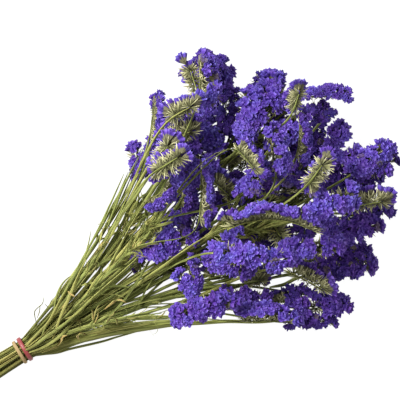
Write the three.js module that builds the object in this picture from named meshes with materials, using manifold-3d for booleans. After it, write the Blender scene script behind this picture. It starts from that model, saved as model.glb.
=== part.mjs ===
// A bunch of dried statice (sea lavender), tied near its cut ends and lying on a flat surface.
//
// Fifteen winged stalks pass side by side through a tie of two elastic bands and fan out beyond it.
// Each stalk forks into branches, and each branch ends in a flower head of one or two arms. An arm
// has a curved rachis, a comb of pointed green bracts along it, and a crowded double row of papery
// violet cups on the bracts' ends. A stalk with its branches and bracts is one solid, and the cups
// of each head are another.
//
// Millimetres. +X runs along the bunch from the tie to the flowers, +Y across it, and +Z up from
// the surface. The origin is under the middle of the bunch.
import * as THREE from "three";
import Module from "manifold-3d";
import { mergeVertices } from "three/addons/utils/BufferGeometryUtils.js";

const wasm = await Module();
wasm.setup();

// ---- The tie and the stems in it ----
const tieMiddle = new THREE.Vector3(0, -6, 13);
const slotPitch = 4.4; // between neighbouring stems in the tie
const slotRow = (slotPitch * Math.sqrt(3)) / 2;
const bandThick = 1.3;
const bands = [
  { name: "rubber_band", x: 0, inner: 11.6, width: 4.2, yaw: 0, color: 0xb8323a },
  { name: "tan_band", x: -7, inner: 11.8, width: 3.4, yaw: 6, color: 0xc3a26b },
];

// Where each stalk passes the tie, in slots across and rows up from its middle.
const stalkSlots = [
  [2, 0], [1.5, -1], [1.5, 1], [0.5, 2], [1, 0], [0.5, -1], [0.5, 1], [0, 0],
  [-0.5, 2], [-0.5, 1], [-0.5, -1], [-1.5, 1], [-1, 0], [-1.5, -1], [-2, 0],
];

// ---- The flower heads ----
// Each head's stalk, the foot of its rachis from the tie's place on the surface, and its arms. An
// arm is [yaw of its chord, roll of its flowers from straight up towards its left, rachis length,
// the angle through which the rachis bends away from its flowers, and its size].
const heads = [
  { stalk: 1, foot: [210, 102, 44], arms: [[47, -90, 28, 8, 0.8]] },
  { stalk: 1, foot: [185, 81, 14], arms: [[30, -10, 34, 8, 0.95], [74, 0, 12, 10, 0.85]] },
  { stalk: 2, foot: [262, 104, 74], arms: [[57, -78, 28, 10, 1.15], [76, 165, 26, 10, 1]] },
  { stalk: 2, foot: [260, 90, 8], arms: [[52, 0, 24, 8, 1.1], [34, 0, 40, 8, 1]] },
  { stalk: 2, foot: [216, 46, 56], arms: [[48, 0, 28, 8, 0.8], [6, 0, 20, 8, 1]] },
  { stalk: 3, foot: [203, 78, 102], arms: [[28, 178, 18, 10, 1]] },
  { stalk: 3, foot: [239, 105, 92], arms: [[-2, 150, 18, 15, 1]] },
  { stalk: 3, foot: [250, 92, 34], arms: [[-70, 5, 24, 8, 1.15]] },
  { stalk: 4, foot: [199, 72, 124], arms: [[0, 178, 22, 10, 1.05]] },
  { stalk: 4, foot: [223, 88, 76], arms: [[-7, 140, 22, 10, 1.1]] },
  { stalk: 5, foot: [291, 58, 46], arms: [[48, -4, 28, 8, 1.15], [14, 0, 34, 8, 1.15]] },
  { stalk: 5, foot: [316, 72, 26], arms: [[34, 10, 20, 10, 1.15]] },
  { stalk: 5, foot: [237, 32, 62], arms: [[-72, 130, 18, 10, 1]] },
  { stalk: 6, foot: [339, 56, 70], arms: [[40, 150, 12, 10, 0.9]] },
  { stalk: 6, foot: [352, 58, 44], arms: [[-30, 25, 36, 10, 0.7]] },
  { stalk: 7, foot: [182, 52, 88], arms: [[8, -90, 16, 60, 0.95]] },
  { stalk: 7, foot: [196, 31, 52], arms: [[60, -60, 18, 8, 0.85]] },
  { stalk: 8, foot: [309, 38, 36], arms: [[13, 0, 22, 8, 1.1]] },
  { stalk: 8, foot: [292, 16, 84], arms: [[68, -40, 26, 10, 1.05]] },
  { stalk: 8, foot: [318, 9, 72], arms: [[52, -75, 32, 20, 0.85]] },
  { stalk: 9, foot: [275, 46, 96], arms: [[-80, 120, 22, 10, 0.95]] },
  { stalk: 9, foot: [263, 9, 64], arms: [[26, 0, 16, 8, 1.1]] },
  { stalk: 9, foot: [203, 11, 80], arms: [[56, -90, 40, 10, 0.9]] },
  { stalk: 10, foot: [157, 9, 50], arms: [[30, 5, 24, 8, 1.15], [-4, -5, 26, 8, 1.1]] },
  { stalk: 10, foot: [170, -37, 62], arms: [[63, -70, 24, 10, 0.75], [96, -10, 12, 10, 0.8]] },
  { stalk: 11, foot: [278, -3, 46], arms: [[-30, 45, 36, 20, 1.1]] },
  { stalk: 11, foot: [313, -12, 86], arms: [[22, 195, 20, 10, 1.05]] },
  { stalk: 11, foot: [344, -8, 20], arms: [[44, 0, 22, 8, 1.05], [-22, 10, 18, 8, 1]] },
  { stalk: 12, foot: [193, -25, 56], arms: [[-44, 0, 22, 8, 1.1], [28, 5, 24, 8, 1.05]] },
  { stalk: 12, foot: [231, -12, 100], arms: [[-34, 90, 76, 50, 1.05]] },
  { stalk: 12, foot: [264, -27, 34], arms: [[-92, 172, 14, 10, 1.1]] },
  { stalk: 13, foot: [209, -28, 84], arms: [[-38, 0, 52, 12, 1.15]] },
  { stalk: 13, foot: [306, -41, 60], arms: [[-7, 0, 28, 8, 1.15]] },
  { stalk: 13, foot: [334, -54, 66], arms: [[-22, 142, 31, 8, 1.05]] },
  { stalk: 13, foot: [363, -29, 36], arms: [[8, 10, 24, 12, 1.05], [-30, 0, 14, 10, 0.95]] },
  { stalk: 14, foot: [144, -49, 46], arms: [[-15, 0, 40, 8, 1.15]] },
  { stalk: 14, foot: [193, -67, 3], arms: [[-37, 0, 28, 8, 1.1]] },
  { stalk: 14, foot: [265, -64, 56], arms: [[-20, 8, 36, 10, 1.15]] },
  { stalk: 14, foot: [309, -72, 20], arms: [[-14, 0, 30, 8, 1.2]] },
  { stalk: 15, foot: [192, -91, 42], arms: [[-32, 75, 38, 8, 1.05]] },
  { stalk: 15, foot: [237, -108, 6], arms: [[-24, 5, 34, 8, 1.15]] },
  { stalk: 15, foot: [255, -78, 42], arms: [[-59, 125, 32, 8, 1]] },
  { stalk: 15, foot: [285, -92, 1], arms: [[-24, -5, 30, 8, 1.2]] },
];

// ---- One arm ----
const DEG = Math.PI / 180;
const leanFoot = -8 * DEG; // the first flowers lean back a little, and the last lean forward
const leanTip = 62 * DEG;
const bractReach = 11; // from the rachis, on an arm of size 1, as all sizes of an arm
const bractSpread = 6.4;
const bractPitch = 6.5;
const cupLow = 4.4; // where the cups' keel lies between the bracts
const cupHigh = 20;
const armHalfWidth = 9.3;
const cupPitch = 9;

const sum = (...terms) =>
  terms.reduce((total, [v, k]) => total.addScaledVector(v, k), new THREE.Vector3());

// An arm's own frame: at(u) gives the rachis's point, its tangent and the ray along which what
// grows there stands, for u from 0 at the foot to 1 at the tip. side is across the arm.
function armFrame(foot, [yaw, roll, length, turn, size]) {
  const chord = new THREE.Vector3(Math.cos(yaw * DEG), Math.sin(yaw * DEG), 0);
  const left = new THREE.Vector3(-chord.y, chord.x, 0);
  const up = new THREE.Vector3(0, 0, 1);
  const face = sum([up, Math.cos(roll * DEG)], [left, Math.sin(roll * DEG)]);
  const side = new THREE.Vector3().crossVectors(chord, face);
  const bend = turn * DEG;
  const at = (u) => {
    const angle = bend * (0.5 - u);
    const along = (length * (Math.sin(bend / 2) - Math.sin(angle))) / bend;
    const out = (length * (Math.cos(angle) - Math.cos(bend / 2))) / bend;
    const tangent = sum([chord, Math.cos(angle)], [face, Math.sin(angle)]);
    const normal = sum([chord, -Math.sin(angle)], [face, Math.cos(angle)]);
    const lean = leanFoot + (leanTip - leanFoot) * u * u;
    return {
      point: sum([foot, 1], [chord, along], [face, out]),
      tangent,
      ray: sum([normal, Math.cos(lean)], [tangent, Math.sin(lean)]),
    };
  };
  const lengthAt = (reach) => length + reach * size * (bend + leanTip - leanFoot);
  return { at, side, chord, size, length, lengthAt };
}

// ---- Stems before they settle ----
const beadStep = 8; // along a stem
const leavingTie = new THREE.Vector3(1, 0.4, 0.4); // flattens a trunk's way towards its head
const trunkHandle = 105; // how far a curve keeps to the way in which it leaves
const branchHandle = 34;
const arriveHandle = 30; // and to the way in which it arrives
const handleShare = 0.42; // of the whole, at most
const firstFork = 48; // no stalk forks nearer to the tie
const forkStagger = 9; // from one stalk to the next
const forkBefore = 42; // a branch leaves this far before its head
const forkSlope = 1.4; // and so much further for each millimetre that the head is off the trunk

const slotPoint = ([across, up]) =>
  sum(
    [tieMiddle, 1],
    [new THREE.Vector3(0, across * slotPitch, up * slotRow), 1],
  );

// Points of a cubic curve from a to b that leaves along dirA and arrives along dirB.
function curvePoints(a, dirA, b, dirB, handle) {
  const span = a.distanceTo(b);
  const leaving = Math.min(span * handleShare, handle);
  const arriving = Math.min(span * handleShare, arriveHandle);
  const curve = new THREE.CubicBezierCurve3(
    a,
    sum([a, 1], [dirA, leaving]),
    sum([b, 1], [dirB, -arriving]),
    b,
  );
  const steps = Math.max(3, Math.round(span / beadStep));
  return Array.from({ length: steps + 1 }, (_, i) => curve.getPoint(i / steps));
}

// Every stem as a chain of points. The first of a stalk's chains is its trunk, from the tie to its
// furthest head, and the others leave the trunk at a fork and run to the other heads.
function layStems() {
  const chains = [];
  stalkSlots.forEach((slot, s) => {
    const own = heads.filter((h) => h.stalk === s + 1);
    const order = [...own].sort((a, b) => b.foot[0] - a.foot[0]);
    const start = slotPoint(slot);
    let trunk = null;
    order.forEach((head, k) => {
      const foot = new THREE.Vector3(...head.foot);
      const arrive = armFrame(foot, head.arms[0]).chord;
      if (k === 0) {
        const straight = sum([foot, 1], [start, -1]);
        const leave = straight.multiply(leavingTie).normalize();
        const points = curvePoints(start, leave, foot, arrive, trunkHandle);
        trunk = { stalk: s + 1, head, points, from: null, fork: 0 };
        chains.push(trunk);
        return;
      }
      const beside = trunk.points.reduce((a, b) =>
        Math.abs(b.x - foot.x) < Math.abs(a.x - foot.x) ? b : a,
      );
      const off = Math.hypot(beside.y - foot.y, beside.z - foot.z);
      const forkX = Math.max(
        firstFork + forkStagger * (s % 4),
        foot.x - forkBefore - forkSlope * off,
      );
      let fork = trunk.points.findIndex((p) => p.x > forkX);
      if (fork < 1) fork = 1;
      const at = trunk.points[fork];
      const leave = sum([at, 1], [trunk.points[fork - 1], -1]).normalize();
      const points = curvePoints(at, leave, foot, arrive, branchHandle);
      chains.push({ stalk: s + 1, head, points, from: trunk, fork });
    });
  });
  return chains;
}

// ---- Settling ----
// Heads and stems are rows of beads. Beads of different pieces that are too close push each other
// apart. A head moves as one, and a stem bends smoothly between its tie or fork and its head.
const settleRounds = 200;
const settleGive = new THREE.Vector3(0.3, 0.3, 1.5); // a bunch gives way upwards before sideways
const beadGap = 0.7;
const watchWithin = 40; // pairs further apart than this at the start are never looked at
const ownShare = 0.6; // how much of its own move a stem's bead keeps, against its neighbours'
const stemBead = 3.5;
const branchBead = 3;
const tieBead = 2.1;
const tiedTo = 5; // along the bunch, where the stems begin to part
const partedBy = 45; // and where they have
const headBeadStep = 9;
const bractBead = { reach: 5.2, radius: 7, high: 6.1, wide: 6.1 };
const cupBead = { reach: 14, radius: 10.3, high: 5.9, wide: 9.7 };

const between = (from, to, v) => Math.min(1, Math.max(0, (v - from) / (to - from)));

// All beads. Those with one shift move together. leads is the head that a bead belongs to or that
// its stem runs to, and low is how far the real form reaches below the bead's middle.
function stringBeads(chains) {
  const beads = [];
  heads.forEach((head, leads) => {
    head.shift = new THREE.Vector3();
    for (const arm of head.arms) {
      const frame = armFrame(new THREE.Vector3(...head.foot), arm);
      const steps = Math.ceil(frame.lengthAt(cupBead.reach) / headBeadStep);
      for (let i = 0; i <= steps; i++) {
        const { point, ray } = frame.at(i / steps);
        for (const { reach, radius, high, wide } of [bractBead, cupBead])
          beads.push({
            rest: sum([point, 1], [ray, reach * frame.size]),
            radius: radius * frame.size,
            low: (high * Math.abs(ray.z) + wide * Math.abs(frame.side.z)) * frame.size,
            violet: reach === cupBead.reach,
            leads,
            stalk: head.stalk,
            shift: head.shift,
          });
      }
    }
  });
  for (const chain of chains) {
    const leads = heads.indexOf(chain.head);
    chain.shifts = chain.points.map(() => new THREE.Vector3());
    chain.points.forEach((rest, i) => {
      const parted = between(tiedTo, partedBy, rest.x);
      const radius = chain.from ? branchBead : tieBead + (stemBead - tieBead) * parted;
      const shift = chain.shifts[i];
      beads.push({ rest, radius, low: radius, violet: false, leads, stalk: chain.stalk, shift });
    });
  }
  return beads;
}

// Pairs of beads that may meet, with the distance they keep. Green parts of one stalk may touch.
function watchPairs(beads) {
  const pairs = [];
  beads.forEach((a, i) => {
    for (const b of beads.slice(i + 1)) {
      if (a.leads === b.leads) continue;
      if (a.stalk === b.stalk && !a.violet && !b.violet) continue;
      const near = a.radius + b.radius + beadGap;
      if (a.rest.distanceTo(b.rest) <= near + watchWithin) pairs.push([a, b, near]);
    }
  });
  return pairs;
}

function settle(chains) {
  const beads = stringBeads(chains);
  const pairs = watchPairs(beads);
  const up = new THREE.Vector3(0, 0, 1);
  for (let round = 0; round < settleRounds; round++) {
    const pushes = new Map();
    const push = (bead, way, by) => {
      const p = pushes.get(bead.shift) ?? { total: new THREE.Vector3(), count: 0 };
      p.total.addScaledVector(way, by);
      p.count += 1;
      pushes.set(bead.shift, p);
    };
    for (const [a, b, near] of pairs) {
      const apart = sum([a.rest, 1], [a.shift, 1], [b.rest, -1], [b.shift, -1]);
      const distance = apart.length();
      if (distance >= near) continue;
      const by = (near - distance) / 2 / distance;
      push(a, apart, by);
      push(b, apart, -by);
    }
    for (const bead of beads) {
      const sunk = bead.low - bead.rest.z - bead.shift.z;
      if (sunk > 0) push(bead, up, sunk);
    }
    for (const [shift, { total, count }] of pushes)
      shift.addScaledVector(total.multiply(settleGive), 1 / count);
    for (const { shifts, from, fork, head } of chains) {
      shifts[0].copy(from ? from.shifts[fork] : new THREE.Vector3());
      shifts[shifts.length - 1].copy(head.shift);
      const before = shifts.map((v) => v.clone());
      const side = (1 - ownShare) / 2;
      for (let i = 1; i < shifts.length - 1; i++)
        shifts[i].copy(sum([before[i], ownShare], [before[i - 1], side], [before[i + 1], side]));
    }
  }
  for (const chain of chains)
    chain.points = chain.points.map((p, i) => sum([p, 1], [chain.shifts[i], 1]));
  for (const head of heads)
    head.settled = sum([new THREE.Vector3(...head.foot), 1], [head.shift, 1]);
}

// ---- Solids ----
// A closed geometry as a solid, turned the right way out.
function toSolid(geometry) {
  const merged = mergeVertices(geometry, 1e-4);
  const vertProperties = merged.getAttribute("position").array;
  const triVerts = new Uint32Array(merged.index.array);
  const made = new wasm.Manifold(new wasm.Mesh({ numProp: 3, vertProperties, triVerts }));
  if (made.volume() > 0) return made;
  for (let i = 0; i < triVerts.length; i += 3)
    [triVerts[i + 1], triVerts[i + 2]] = [triVerts[i + 2], triVerts[i + 1]];
  return new wasm.Manifold(new wasm.Mesh({ numProp: 3, vertProperties, triVerts }));
}

function toGeometry(solid) {
  const mesh = solid.getMesh();
  const geometry = new THREE.BufferGeometry();
  geometry.setAttribute("position", new THREE.BufferAttribute(mesh.vertProperties, 3));
  geometry.setIndex(new THREE.BufferAttribute(mesh.triVerts, 1));
  return geometry;
}

function geometryOf(points, faces) {
  const geometry = new THREE.BufferGeometry().setFromPoints(points);
  return geometry.setIndex(faces.flat());
}

// A closed skin over rings of points. A ring of one point is a tip, and a wider end is capped flat.
// Even points of a ring are joined to the odd ones of the next, alike on both faces of a blade.
function skin(rings) {
  const sides = Math.max(...rings.map((r) => r.length));
  const starts = rings.map((_, i) => rings.slice(0, i).flat().length);
  const faces = [];
  for (let r = 0; r + 1 < rings.length; r++)
    for (let i = 0; i < sides; i++) {
      const j = (i + 1) % sides;
      const [a, b] = [i, j].map((k) => starts[r] + (k % rings[r].length));
      const [c, d] = [i, j].map((k) => starts[r + 1] + (k % rings[r + 1].length));
      const [near, far] = i % 2 ? [c, b] : [d, a];
      if (a !== b) faces.push([a, b, near]);
      if (c !== d) faces.push([far, d, c]);
    }
  const cap = (start, turn) => {
    for (let i = 1; i + 1 < sides; i++)
      faces.push(turn ? [start, start + i + 1, start + i] : [start, start + i, start + i + 1]);
  };
  if (rings[0].length > 1) cap(starts[0], true);
  if (rings.at(-1).length > 1) cap(starts.at(-1), false);
  return toSolid(geometryOf(rings.flat(), faces));
}

// ---- Stalks ----
const tailLength = 48; // behind the tie, on average
const tailVaries = 6;
const tailSpread = 0.2;
const tailShares = [1, 0.6, 0.25]; // of the tail's length, where its points lie
const trunkWing = 2.9; // from a trunk's middle to the edge of each wing, clear of the tie
const tieWing = 1.95;
const wingsOpen = [14, 64]; // along the bunch, where a trunk widens from the tie
const trunkTapersFrom = 0.45; // of its length
const branchWing = 2;
const forkWing = 1; // at a branch's root, which lies inside the trunk
const headWing = 1.5; // where a stem becomes a rachis
const trunkRidge = 0.55; // how thick a stem is for its width
const tieRidge = 0.8;
const branchRidge = 0.75;
const ringsAtTie = [-12, 5, 22]; // extra rings of a trunk, along it from the tie
const trunkStep = 32;
const branchStep = 17;
const twistPerMm = 0.012;
const endsShort = 3; // a stem's last ring, before the foot of its rachis
const leaflet = { length: 15, half: 1.7, thick: 1.2, widest: 0.4, splay: 0.2 };
const bareShares = [0.5, 0.4, 0.3, 0.2, 0.1]; // of a head's second arm, at its foot
const wellJoined = 60; // mm3 that two arms' flowers share
const rachisRadius = 1.3; // this and the next four on an arm of size 1
const bractTooth = 6; // the reach along which the bracts are spaced evenly
const notchShare = 0.3; // how far the blade reaches between two bracts
const lastBract = 5; // how far the blade points on

// The rings of a stem, from its tail or fork to the foot of its head. Each has two ridges and two
// wings. They turn along the stem, and end in line with the bracts of the head's first arm.
function stemRings(points, lengths, step, sizesAt, arm) {
  const curve = new THREE.CatmullRomCurve3(points, false, "centripetal");
  const whole = curve.getLength();
  const from = lengths.at(-1);
  const count = Math.max(2, Math.round((whole - from) / step));
  const even = Array.from({ length: count }, (_, i) =>
    from + ((i + 1) / count) * (whole - endsShort - from));
  const side = arm.side.clone();
  const rings = [...lengths, ...even].reverse().map((length) => {
    const centre = curve.getPointAt(length / whole);
    const tangent = curve.getTangentAt(length / whole);
    side.addScaledVector(tangent, -side.dot(tangent)).normalize();
    const over = new THREE.Vector3().crossVectors(side, tangent);
    const { wing, ridge, twist } = sizesAt(centre, length, whole);
    const across = sum([side, wing * Math.cos(twist)], [over, wing * Math.sin(twist)]);
    const out = sum([over, ridge * Math.cos(twist)], [side, -ridge * Math.sin(twist)]);
    return [[out, -1], [across, 1], [out, 1], [across, -1]].map((offset) =>
      sum([centre, 1], offset));
  });
  return rings.reverse();
}

// The cut end behind the tie, where the stems spread a little again.
function tailPoints(chain, tail) {
  const slot = sum([chain.points[0], 1], [tieMiddle, -1]);
  return tailShares.map((share) => {
    const back = new THREE.Vector3(-tail * share, 0, 0);
    return sum([tieMiddle, 1], [back, 1], [slot, 1 + tailSpread * share ** 2]);
  });
}

function trunkRings(chain, s, arm) {
  const golden = 0.618;
  const tail = tailLength + tailVaries * (2 * ((s * golden) % 1) - 1);
  const nearTie = [0, ...ringsAtTie.map((x) => tail + x)];
  const handed = s % 2 ? 1 : -1;
  const sizesAt = (centre, length, whole) => {
    const open = between(...wingsOpen, centre.x);
    const tapered = between(trunkTapersFrom, 1, length / whole);
    const full = tieWing + (trunkWing - tieWing) * open;
    const wing = full + (headWing - full) * tapered;
    const ridge = wing * (tieRidge + (trunkRidge - tieRidge) * open);
    return { wing, ridge, twist: handed * (whole - length) * twistPerMm };
  };
  return stemRings([...tailPoints(chain, tail), ...chain.points], nearTie, trunkStep, sizesAt, arm);
}

function branchRings(chain, s, arm) {
  const sizesAt = (centre, length, whole) => {
    const wing = length > 0 ? branchWing + (headWing - branchWing) * (length / whole) : forkWing;
    return { wing, ridge: wing * branchRidge, twist: (whole - length) * twistPerMm };
  };
  return stemRings(chain.points, [0], branchStep, sizesAt, arm);
}

// The narrow pointed leaflet at a fork, splayed to the outer side of the trunk.
function forkLeaflet(chain) {
  const at = chain.points[0];
  const way = sum([chain.points[2], 1], [at, -1]).normalize();
  const across = new THREE.Vector3().crossVectors(way, new THREE.Vector3(0, 0, 1)).normalize();
  const outward = across.y * at.y > 0 ? 1 : -1;
  const splayed = sum([way, 1], [across, leaflet.splay * outward]).normalize();
  const middle = sum([at, 1], [splayed, leaflet.length * leaflet.widest]);
  const thick = new THREE.Vector3().crossVectors(splayed, across).normalize();
  const ring = [sum([middle, 1], [across, leaflet.half]), sum([middle, 1], [across, -leaflet.half])];
  ring.push(sum([middle, 1], [thick, leaflet.thick]));
  return skin([[at], ring, [sum([at, 1], [splayed, leaflet.length])]]);
}

// How much of a head's second arm is bare: what leaves its flowers well joined to the first arm's.
function bareShare(head, arm) {
  const [first] = head.arms;
  if (arm === first) return 0;
  const firstCups = cupsSolid(armFrame(head.settled, first), 0, 0);
  const frame = armFrame(head.settled, arm);
  const joined = (bare) => firstCups.intersect(cupsSolid(frame, bare, 0)).volume() > wellJoined;
  return bareShares.find(joined) ?? 0;
}

// The rings of an arm's rachis and of the pointed bracts along each side of it, as one thin folded
// blade. The bracts of the two sides alternate, and the blade ends in a bract that points on.
function combRings(arm, bare) {
  const k = arm.size;
  const length = arm.lengthAt(bractTooth) * (1 - bare);
  const teeth = Math.max(3, Math.round(length / bractPitch / k));
  const half = rachisRadius * k;
  const ring = (u, tipSide) => {
    const { point, ray } = arm.at(u);
    const edge = (sign) => {
      const share = tipSide === sign ? 1 : notchShare;
      const across = sign * bractSpread * share * k;
      return sum([point, 1], [ray, bractReach * share * k], [arm.side, across]);
    };
    return [sum([point, 1], [ray, -half]), edge(1), sum([point, 1], [ray, half]), edge(-1)];
  };
  const rings = bare > 0 ? [ring(0, 0), ring(bare * 0.9, 0)] : [];
  for (let i = 0; i <= 2 * teeth; i++)
    rings.push(ring(bare + ((1 - bare) * i) / (2 * teeth), i % 2 ? 1 : -1));
  const { point, ray } = arm.at(1);
  rings.push([sum([point, 1], [ray, (bractReach / 2) * k], [arm.chord, lastBract * k])]);
  return rings;
}

// ---- Flowers ----
// Reaches of the cups' rims and hollows on an arm of size 1.
const rimCorner = { in: 1.5, low: 2.6 }; // where a rim dips between two cups
const rimBulge = { out: 0.7, low: 0.9 };
const rimCrimps = [-0.6, 0.5]; // in turn along a rim
const ridgeCrimps = [{ across: -0.5, high: 0.6 }, { across: 0.5, high: -0.9 }]; // along the middle
const hollowAt = { across: 3.7, low: 4.6 };

// One arm's flowers as one closed body that widens from a keel between the bracts to a double row
// of hollow cups. The cups of the two rows are staggered, and meet along crimped rims.
function cupsSolid(frame, bare, grow) {
  const k = frame.size;
  const count = Math.max(2, Math.round((frame.lengthAt(cupHigh) * (1 - bare)) / cupPitch / k));
  const points = [];
  const put = (share, across, reach) => {
    const beyond = share === 0 ? -grow : share === 1 ? grow : 0;
    const { point, ray } = frame.at(bare + (1 - bare) * share + beyond / frame.length);
    points.push(sum([point, 1], [ray, reach], [frame.side, across]));
    return { id: points.length - 1, share, across };
  };
  const leftEdges = Array.from({ length: count + 1 }, (_, i) => i / count);
  const rightEdges = [0, ...leftEdges.slice(1, -2).map((v) => v + 0.5 / count), 1];
  // An outer rim draws in and dips at each edge between cups, and bulges out at each cup.
  const outer = (edges, sign) =>
    edges.flatMap((v, i) => {
      const drawnIn = (armHalfWidth - rimCorner.in) * k + grow;
      const corner = put(v, sign * drawnIn, (cupHigh - rimCorner.low) * k + grow);
      if (i + 1 === edges.length) return [corner];
      const wide = (armHalfWidth + rimBulge.out) * k + grow;
      const high = (cupHigh - rimBulge.low + rimCrimps[(i + (sign > 0)) % 2]) * k + grow;
      return [corner, put((v + edges[i + 1]) / 2, sign * wide, high)];
    });
  const left = outer(leftEdges, -1);
  const right = outer(rightEdges, 1);
  const ridge = [...new Set([...leftEdges, ...rightEdges])]
    .sort((a, b) => a - b)
    .map((v, i) => {
      const { across, high } = ridgeCrimps[i % 2];
      return put(v, across * k, (cupHigh + high) * k + grow);
    });
  const keel = leftEdges.map((v) => put(v, 0, cupLow * k - grow));
  const faces = [];

  // Triangles between two rows of points that run the same way, stepping along whichever lags.
  const stitch = (a, b) => {
    let [i, j] = [0, 0];
    while (i + 1 < a.length || j + 1 < b.length) {
      const stepA = j + 1 >= b.length || (i + 1 < a.length && a[i + 1].share <= b[j + 1].share);
      faces.push(stepA ? [a[i].id, a[i + 1].id, b[j].id] : [a[i].id, b[j + 1].id, b[j].id]);
      if (stepA) i += 1;
      else j += 1;
    }
  };
  // One cup: a fan from its hollow to the rim round it.
  const cup = (row, i) => {
    const [from, bulge, to] = row.slice(2 * i, 2 * i + 3);
    const inner = ridge.filter((r) => r.share >= from.share - 1e-9 && r.share <= to.share + 1e-9);
    const rim = row === left ? [to, bulge, from, ...inner] : [from, bulge, to, ...inner.reverse()];
    const across = Math.sign(bulge.across) * hollowAt.across * k;
    const hollow = put(bulge.share, across, (cupHigh - hollowAt.low) * k + grow).id;
    rim.forEach((r, j) => faces.push([r.id, rim[(j + 1) % rim.length].id, hollow]));
  };
  for (let i = 0; i < count; i++) cup(left, i);
  for (let i = 0; i + 1 < rightEdges.length; i++) cup(right, i);
  stitch(left, keel);
  stitch(keel, right);
  for (const end of [0, -1]) {
    const [a, b, c, d] = [left, keel, right, ridge].map((row) => row.at(end).id);
    faces.push(...(end ? [[a, c, b], [a, d, c]] : [[a, b, c], [a, c, d]]));
  }
  return toSolid(geometryOf(points, faces));
}

// ---- The tie ----
const bandSides = 24;

function bandSolid({ x, inner, width, yaw }) {
  const outer = inner + bandThick;
  const profile = [[inner, 0], [outer, 0], [outer, width], [inner, width], [inner, 0]];
  const ring = new THREE.LatheGeometry(profile.map(([r, h]) => new THREE.Vector2(r, h)), bandSides);
  ring.translate(0, -width / 2, 0).rotateY(Math.PI / bandSides).rotateZ(Math.PI / 2 + yaw * DEG);
  ring.translate(tieMiddle.x + x, tieMiddle.y, tieMiddle.z);
  ring.deleteAttribute("normal");
  ring.deleteAttribute("uv");
  return toSolid(ring);
}

// ---- Assembly ----
const clearance = 0.2; // that a stalk keeps from the flowers
const floorLevel = 0.5; // what hangs lower than this is pressed flat
const stalkColors = [0x8f9a55, 0x7f8f4c, 0x99a25f];
const flowerColors = [0x4b2daa, 0x5533b8, 0x40259a];

const floorSize = { across: 1000, deep: 20 };
const floor = new THREE.BoxGeometry(floorSize.across, floorSize.across, floorSize.deep);
floor.translate(0, 0, floorLevel - floorSize.deep / 2);
floor.deleteAttribute("normal");
floor.deleteAttribute("uv");
const floorSolid = toSolid(floor);
const largest = (solid) =>
  solid.decompose().reduce((a, b) => (b.volume() > a.volume() ? b : a));

function flowersSolid(head, grow) {
  const cups = head.arms.map((arm, i) => cupsSolid(armFrame(head.settled, arm), head.bare[i], grow));
  return cups.reduce((a, b) => a.add(b));
}

function stalkSolid(own, s) {
  const parts = own.flatMap((chain) => {
    const { arms, bare, settled } = chain.head;
    const [first, ...others] = arms.map((arm) => armFrame(settled, arm));
    const stem = (chain.from ? branchRings : trunkRings)(chain, s, first);
    const combs = others.map((arm, i) => skin(combRings(arm, bare[i + 1])));
    const leaflets = chain.from ? [forkLeaflet(chain)] : [];
    return [skin([...stem, ...combRings(first, 0)]), ...combs, ...leaflets];
  });
  const whole = wasm.Manifold.union(parts);
  return heads.reduce((left, head) => left.subtract(flowersSolid(head, clearance)), whole);
}

const bunch = new THREE.Group();
function addPiece(name, solid, color, roughness) {
  const geometry = toGeometry(largest(solid.subtract(floorSolid)));
  const material = new THREE.MeshStandardMaterial({ color, roughness, metalness: 0 });
  const mesh = new THREE.Mesh(geometry, material);
  mesh.name = name;
  bunch.add(mesh);
}

const chains = layStems();
settle(chains);
for (const head of heads) head.bare = head.arms.map((arm) => bareShare(head, arm));
stalkSlots.forEach((_, s) => {
  const own = chains.filter((chain) => chain.stalk === s + 1);
  const number = String(s + 1).padStart(2, "0");
  addPiece(`stalk_${number}`, stalkSolid(own, s), stalkColors[s % 3], 0.85);
  heads.filter((head) => head.stalk === s + 1).forEach((head, i) => {
    const letter = "abcdefgh"[i];
    addPiece(`flowers_${number}${letter}`, flowersSolid(head, 0), flowerColors[(s + i) % 3], 0.9);
  });
});
for (const band of bands) addPiece(band.name, bandSolid(band), band.color, 0.6);

const box = new THREE.Box3().setFromObject(bunch);
const middle = box.getCenter(new THREE.Vector3());
bunch.position.set(-middle.x, -middle.y, -box.min.z);
export default bunch;
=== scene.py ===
"""A tied bunch of dried statice lying on a pale floor.

Fifteen winged stalks run through two bands and fan out. Each ends in curved arms with a comb of
green bracts on one side and crowded papery violet calyces on the other.
"""

import math

import bpy
import numpy as np
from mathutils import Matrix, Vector


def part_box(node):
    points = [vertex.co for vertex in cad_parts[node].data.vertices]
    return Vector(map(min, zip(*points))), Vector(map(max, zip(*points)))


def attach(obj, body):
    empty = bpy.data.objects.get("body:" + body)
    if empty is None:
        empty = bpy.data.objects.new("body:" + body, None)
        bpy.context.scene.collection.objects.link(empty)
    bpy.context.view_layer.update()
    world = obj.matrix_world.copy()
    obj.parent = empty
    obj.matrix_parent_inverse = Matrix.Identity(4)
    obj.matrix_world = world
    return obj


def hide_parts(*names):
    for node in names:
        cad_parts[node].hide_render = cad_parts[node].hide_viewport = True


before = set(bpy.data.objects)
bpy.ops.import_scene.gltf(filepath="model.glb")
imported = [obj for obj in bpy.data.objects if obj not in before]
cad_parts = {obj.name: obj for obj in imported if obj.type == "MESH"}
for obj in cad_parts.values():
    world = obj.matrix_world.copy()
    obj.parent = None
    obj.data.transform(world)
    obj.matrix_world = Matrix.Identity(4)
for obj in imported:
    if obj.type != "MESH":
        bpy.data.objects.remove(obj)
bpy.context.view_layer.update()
MM = 0.001
DEG = math.pi / 180

# ---- Camera ----
# It looks straight down on the bunch from well above, and is rolled so that the bunch runs from the
# lower left of the picture to the upper right.
camera_over = Vector((0.0415, 0.0242))
camera_height = 6.0
picture_width = 0.38  # of the surface seen, at the middle of the bunch's height
picture_at = 0.06
camera_roll = -32 * DEG

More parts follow.
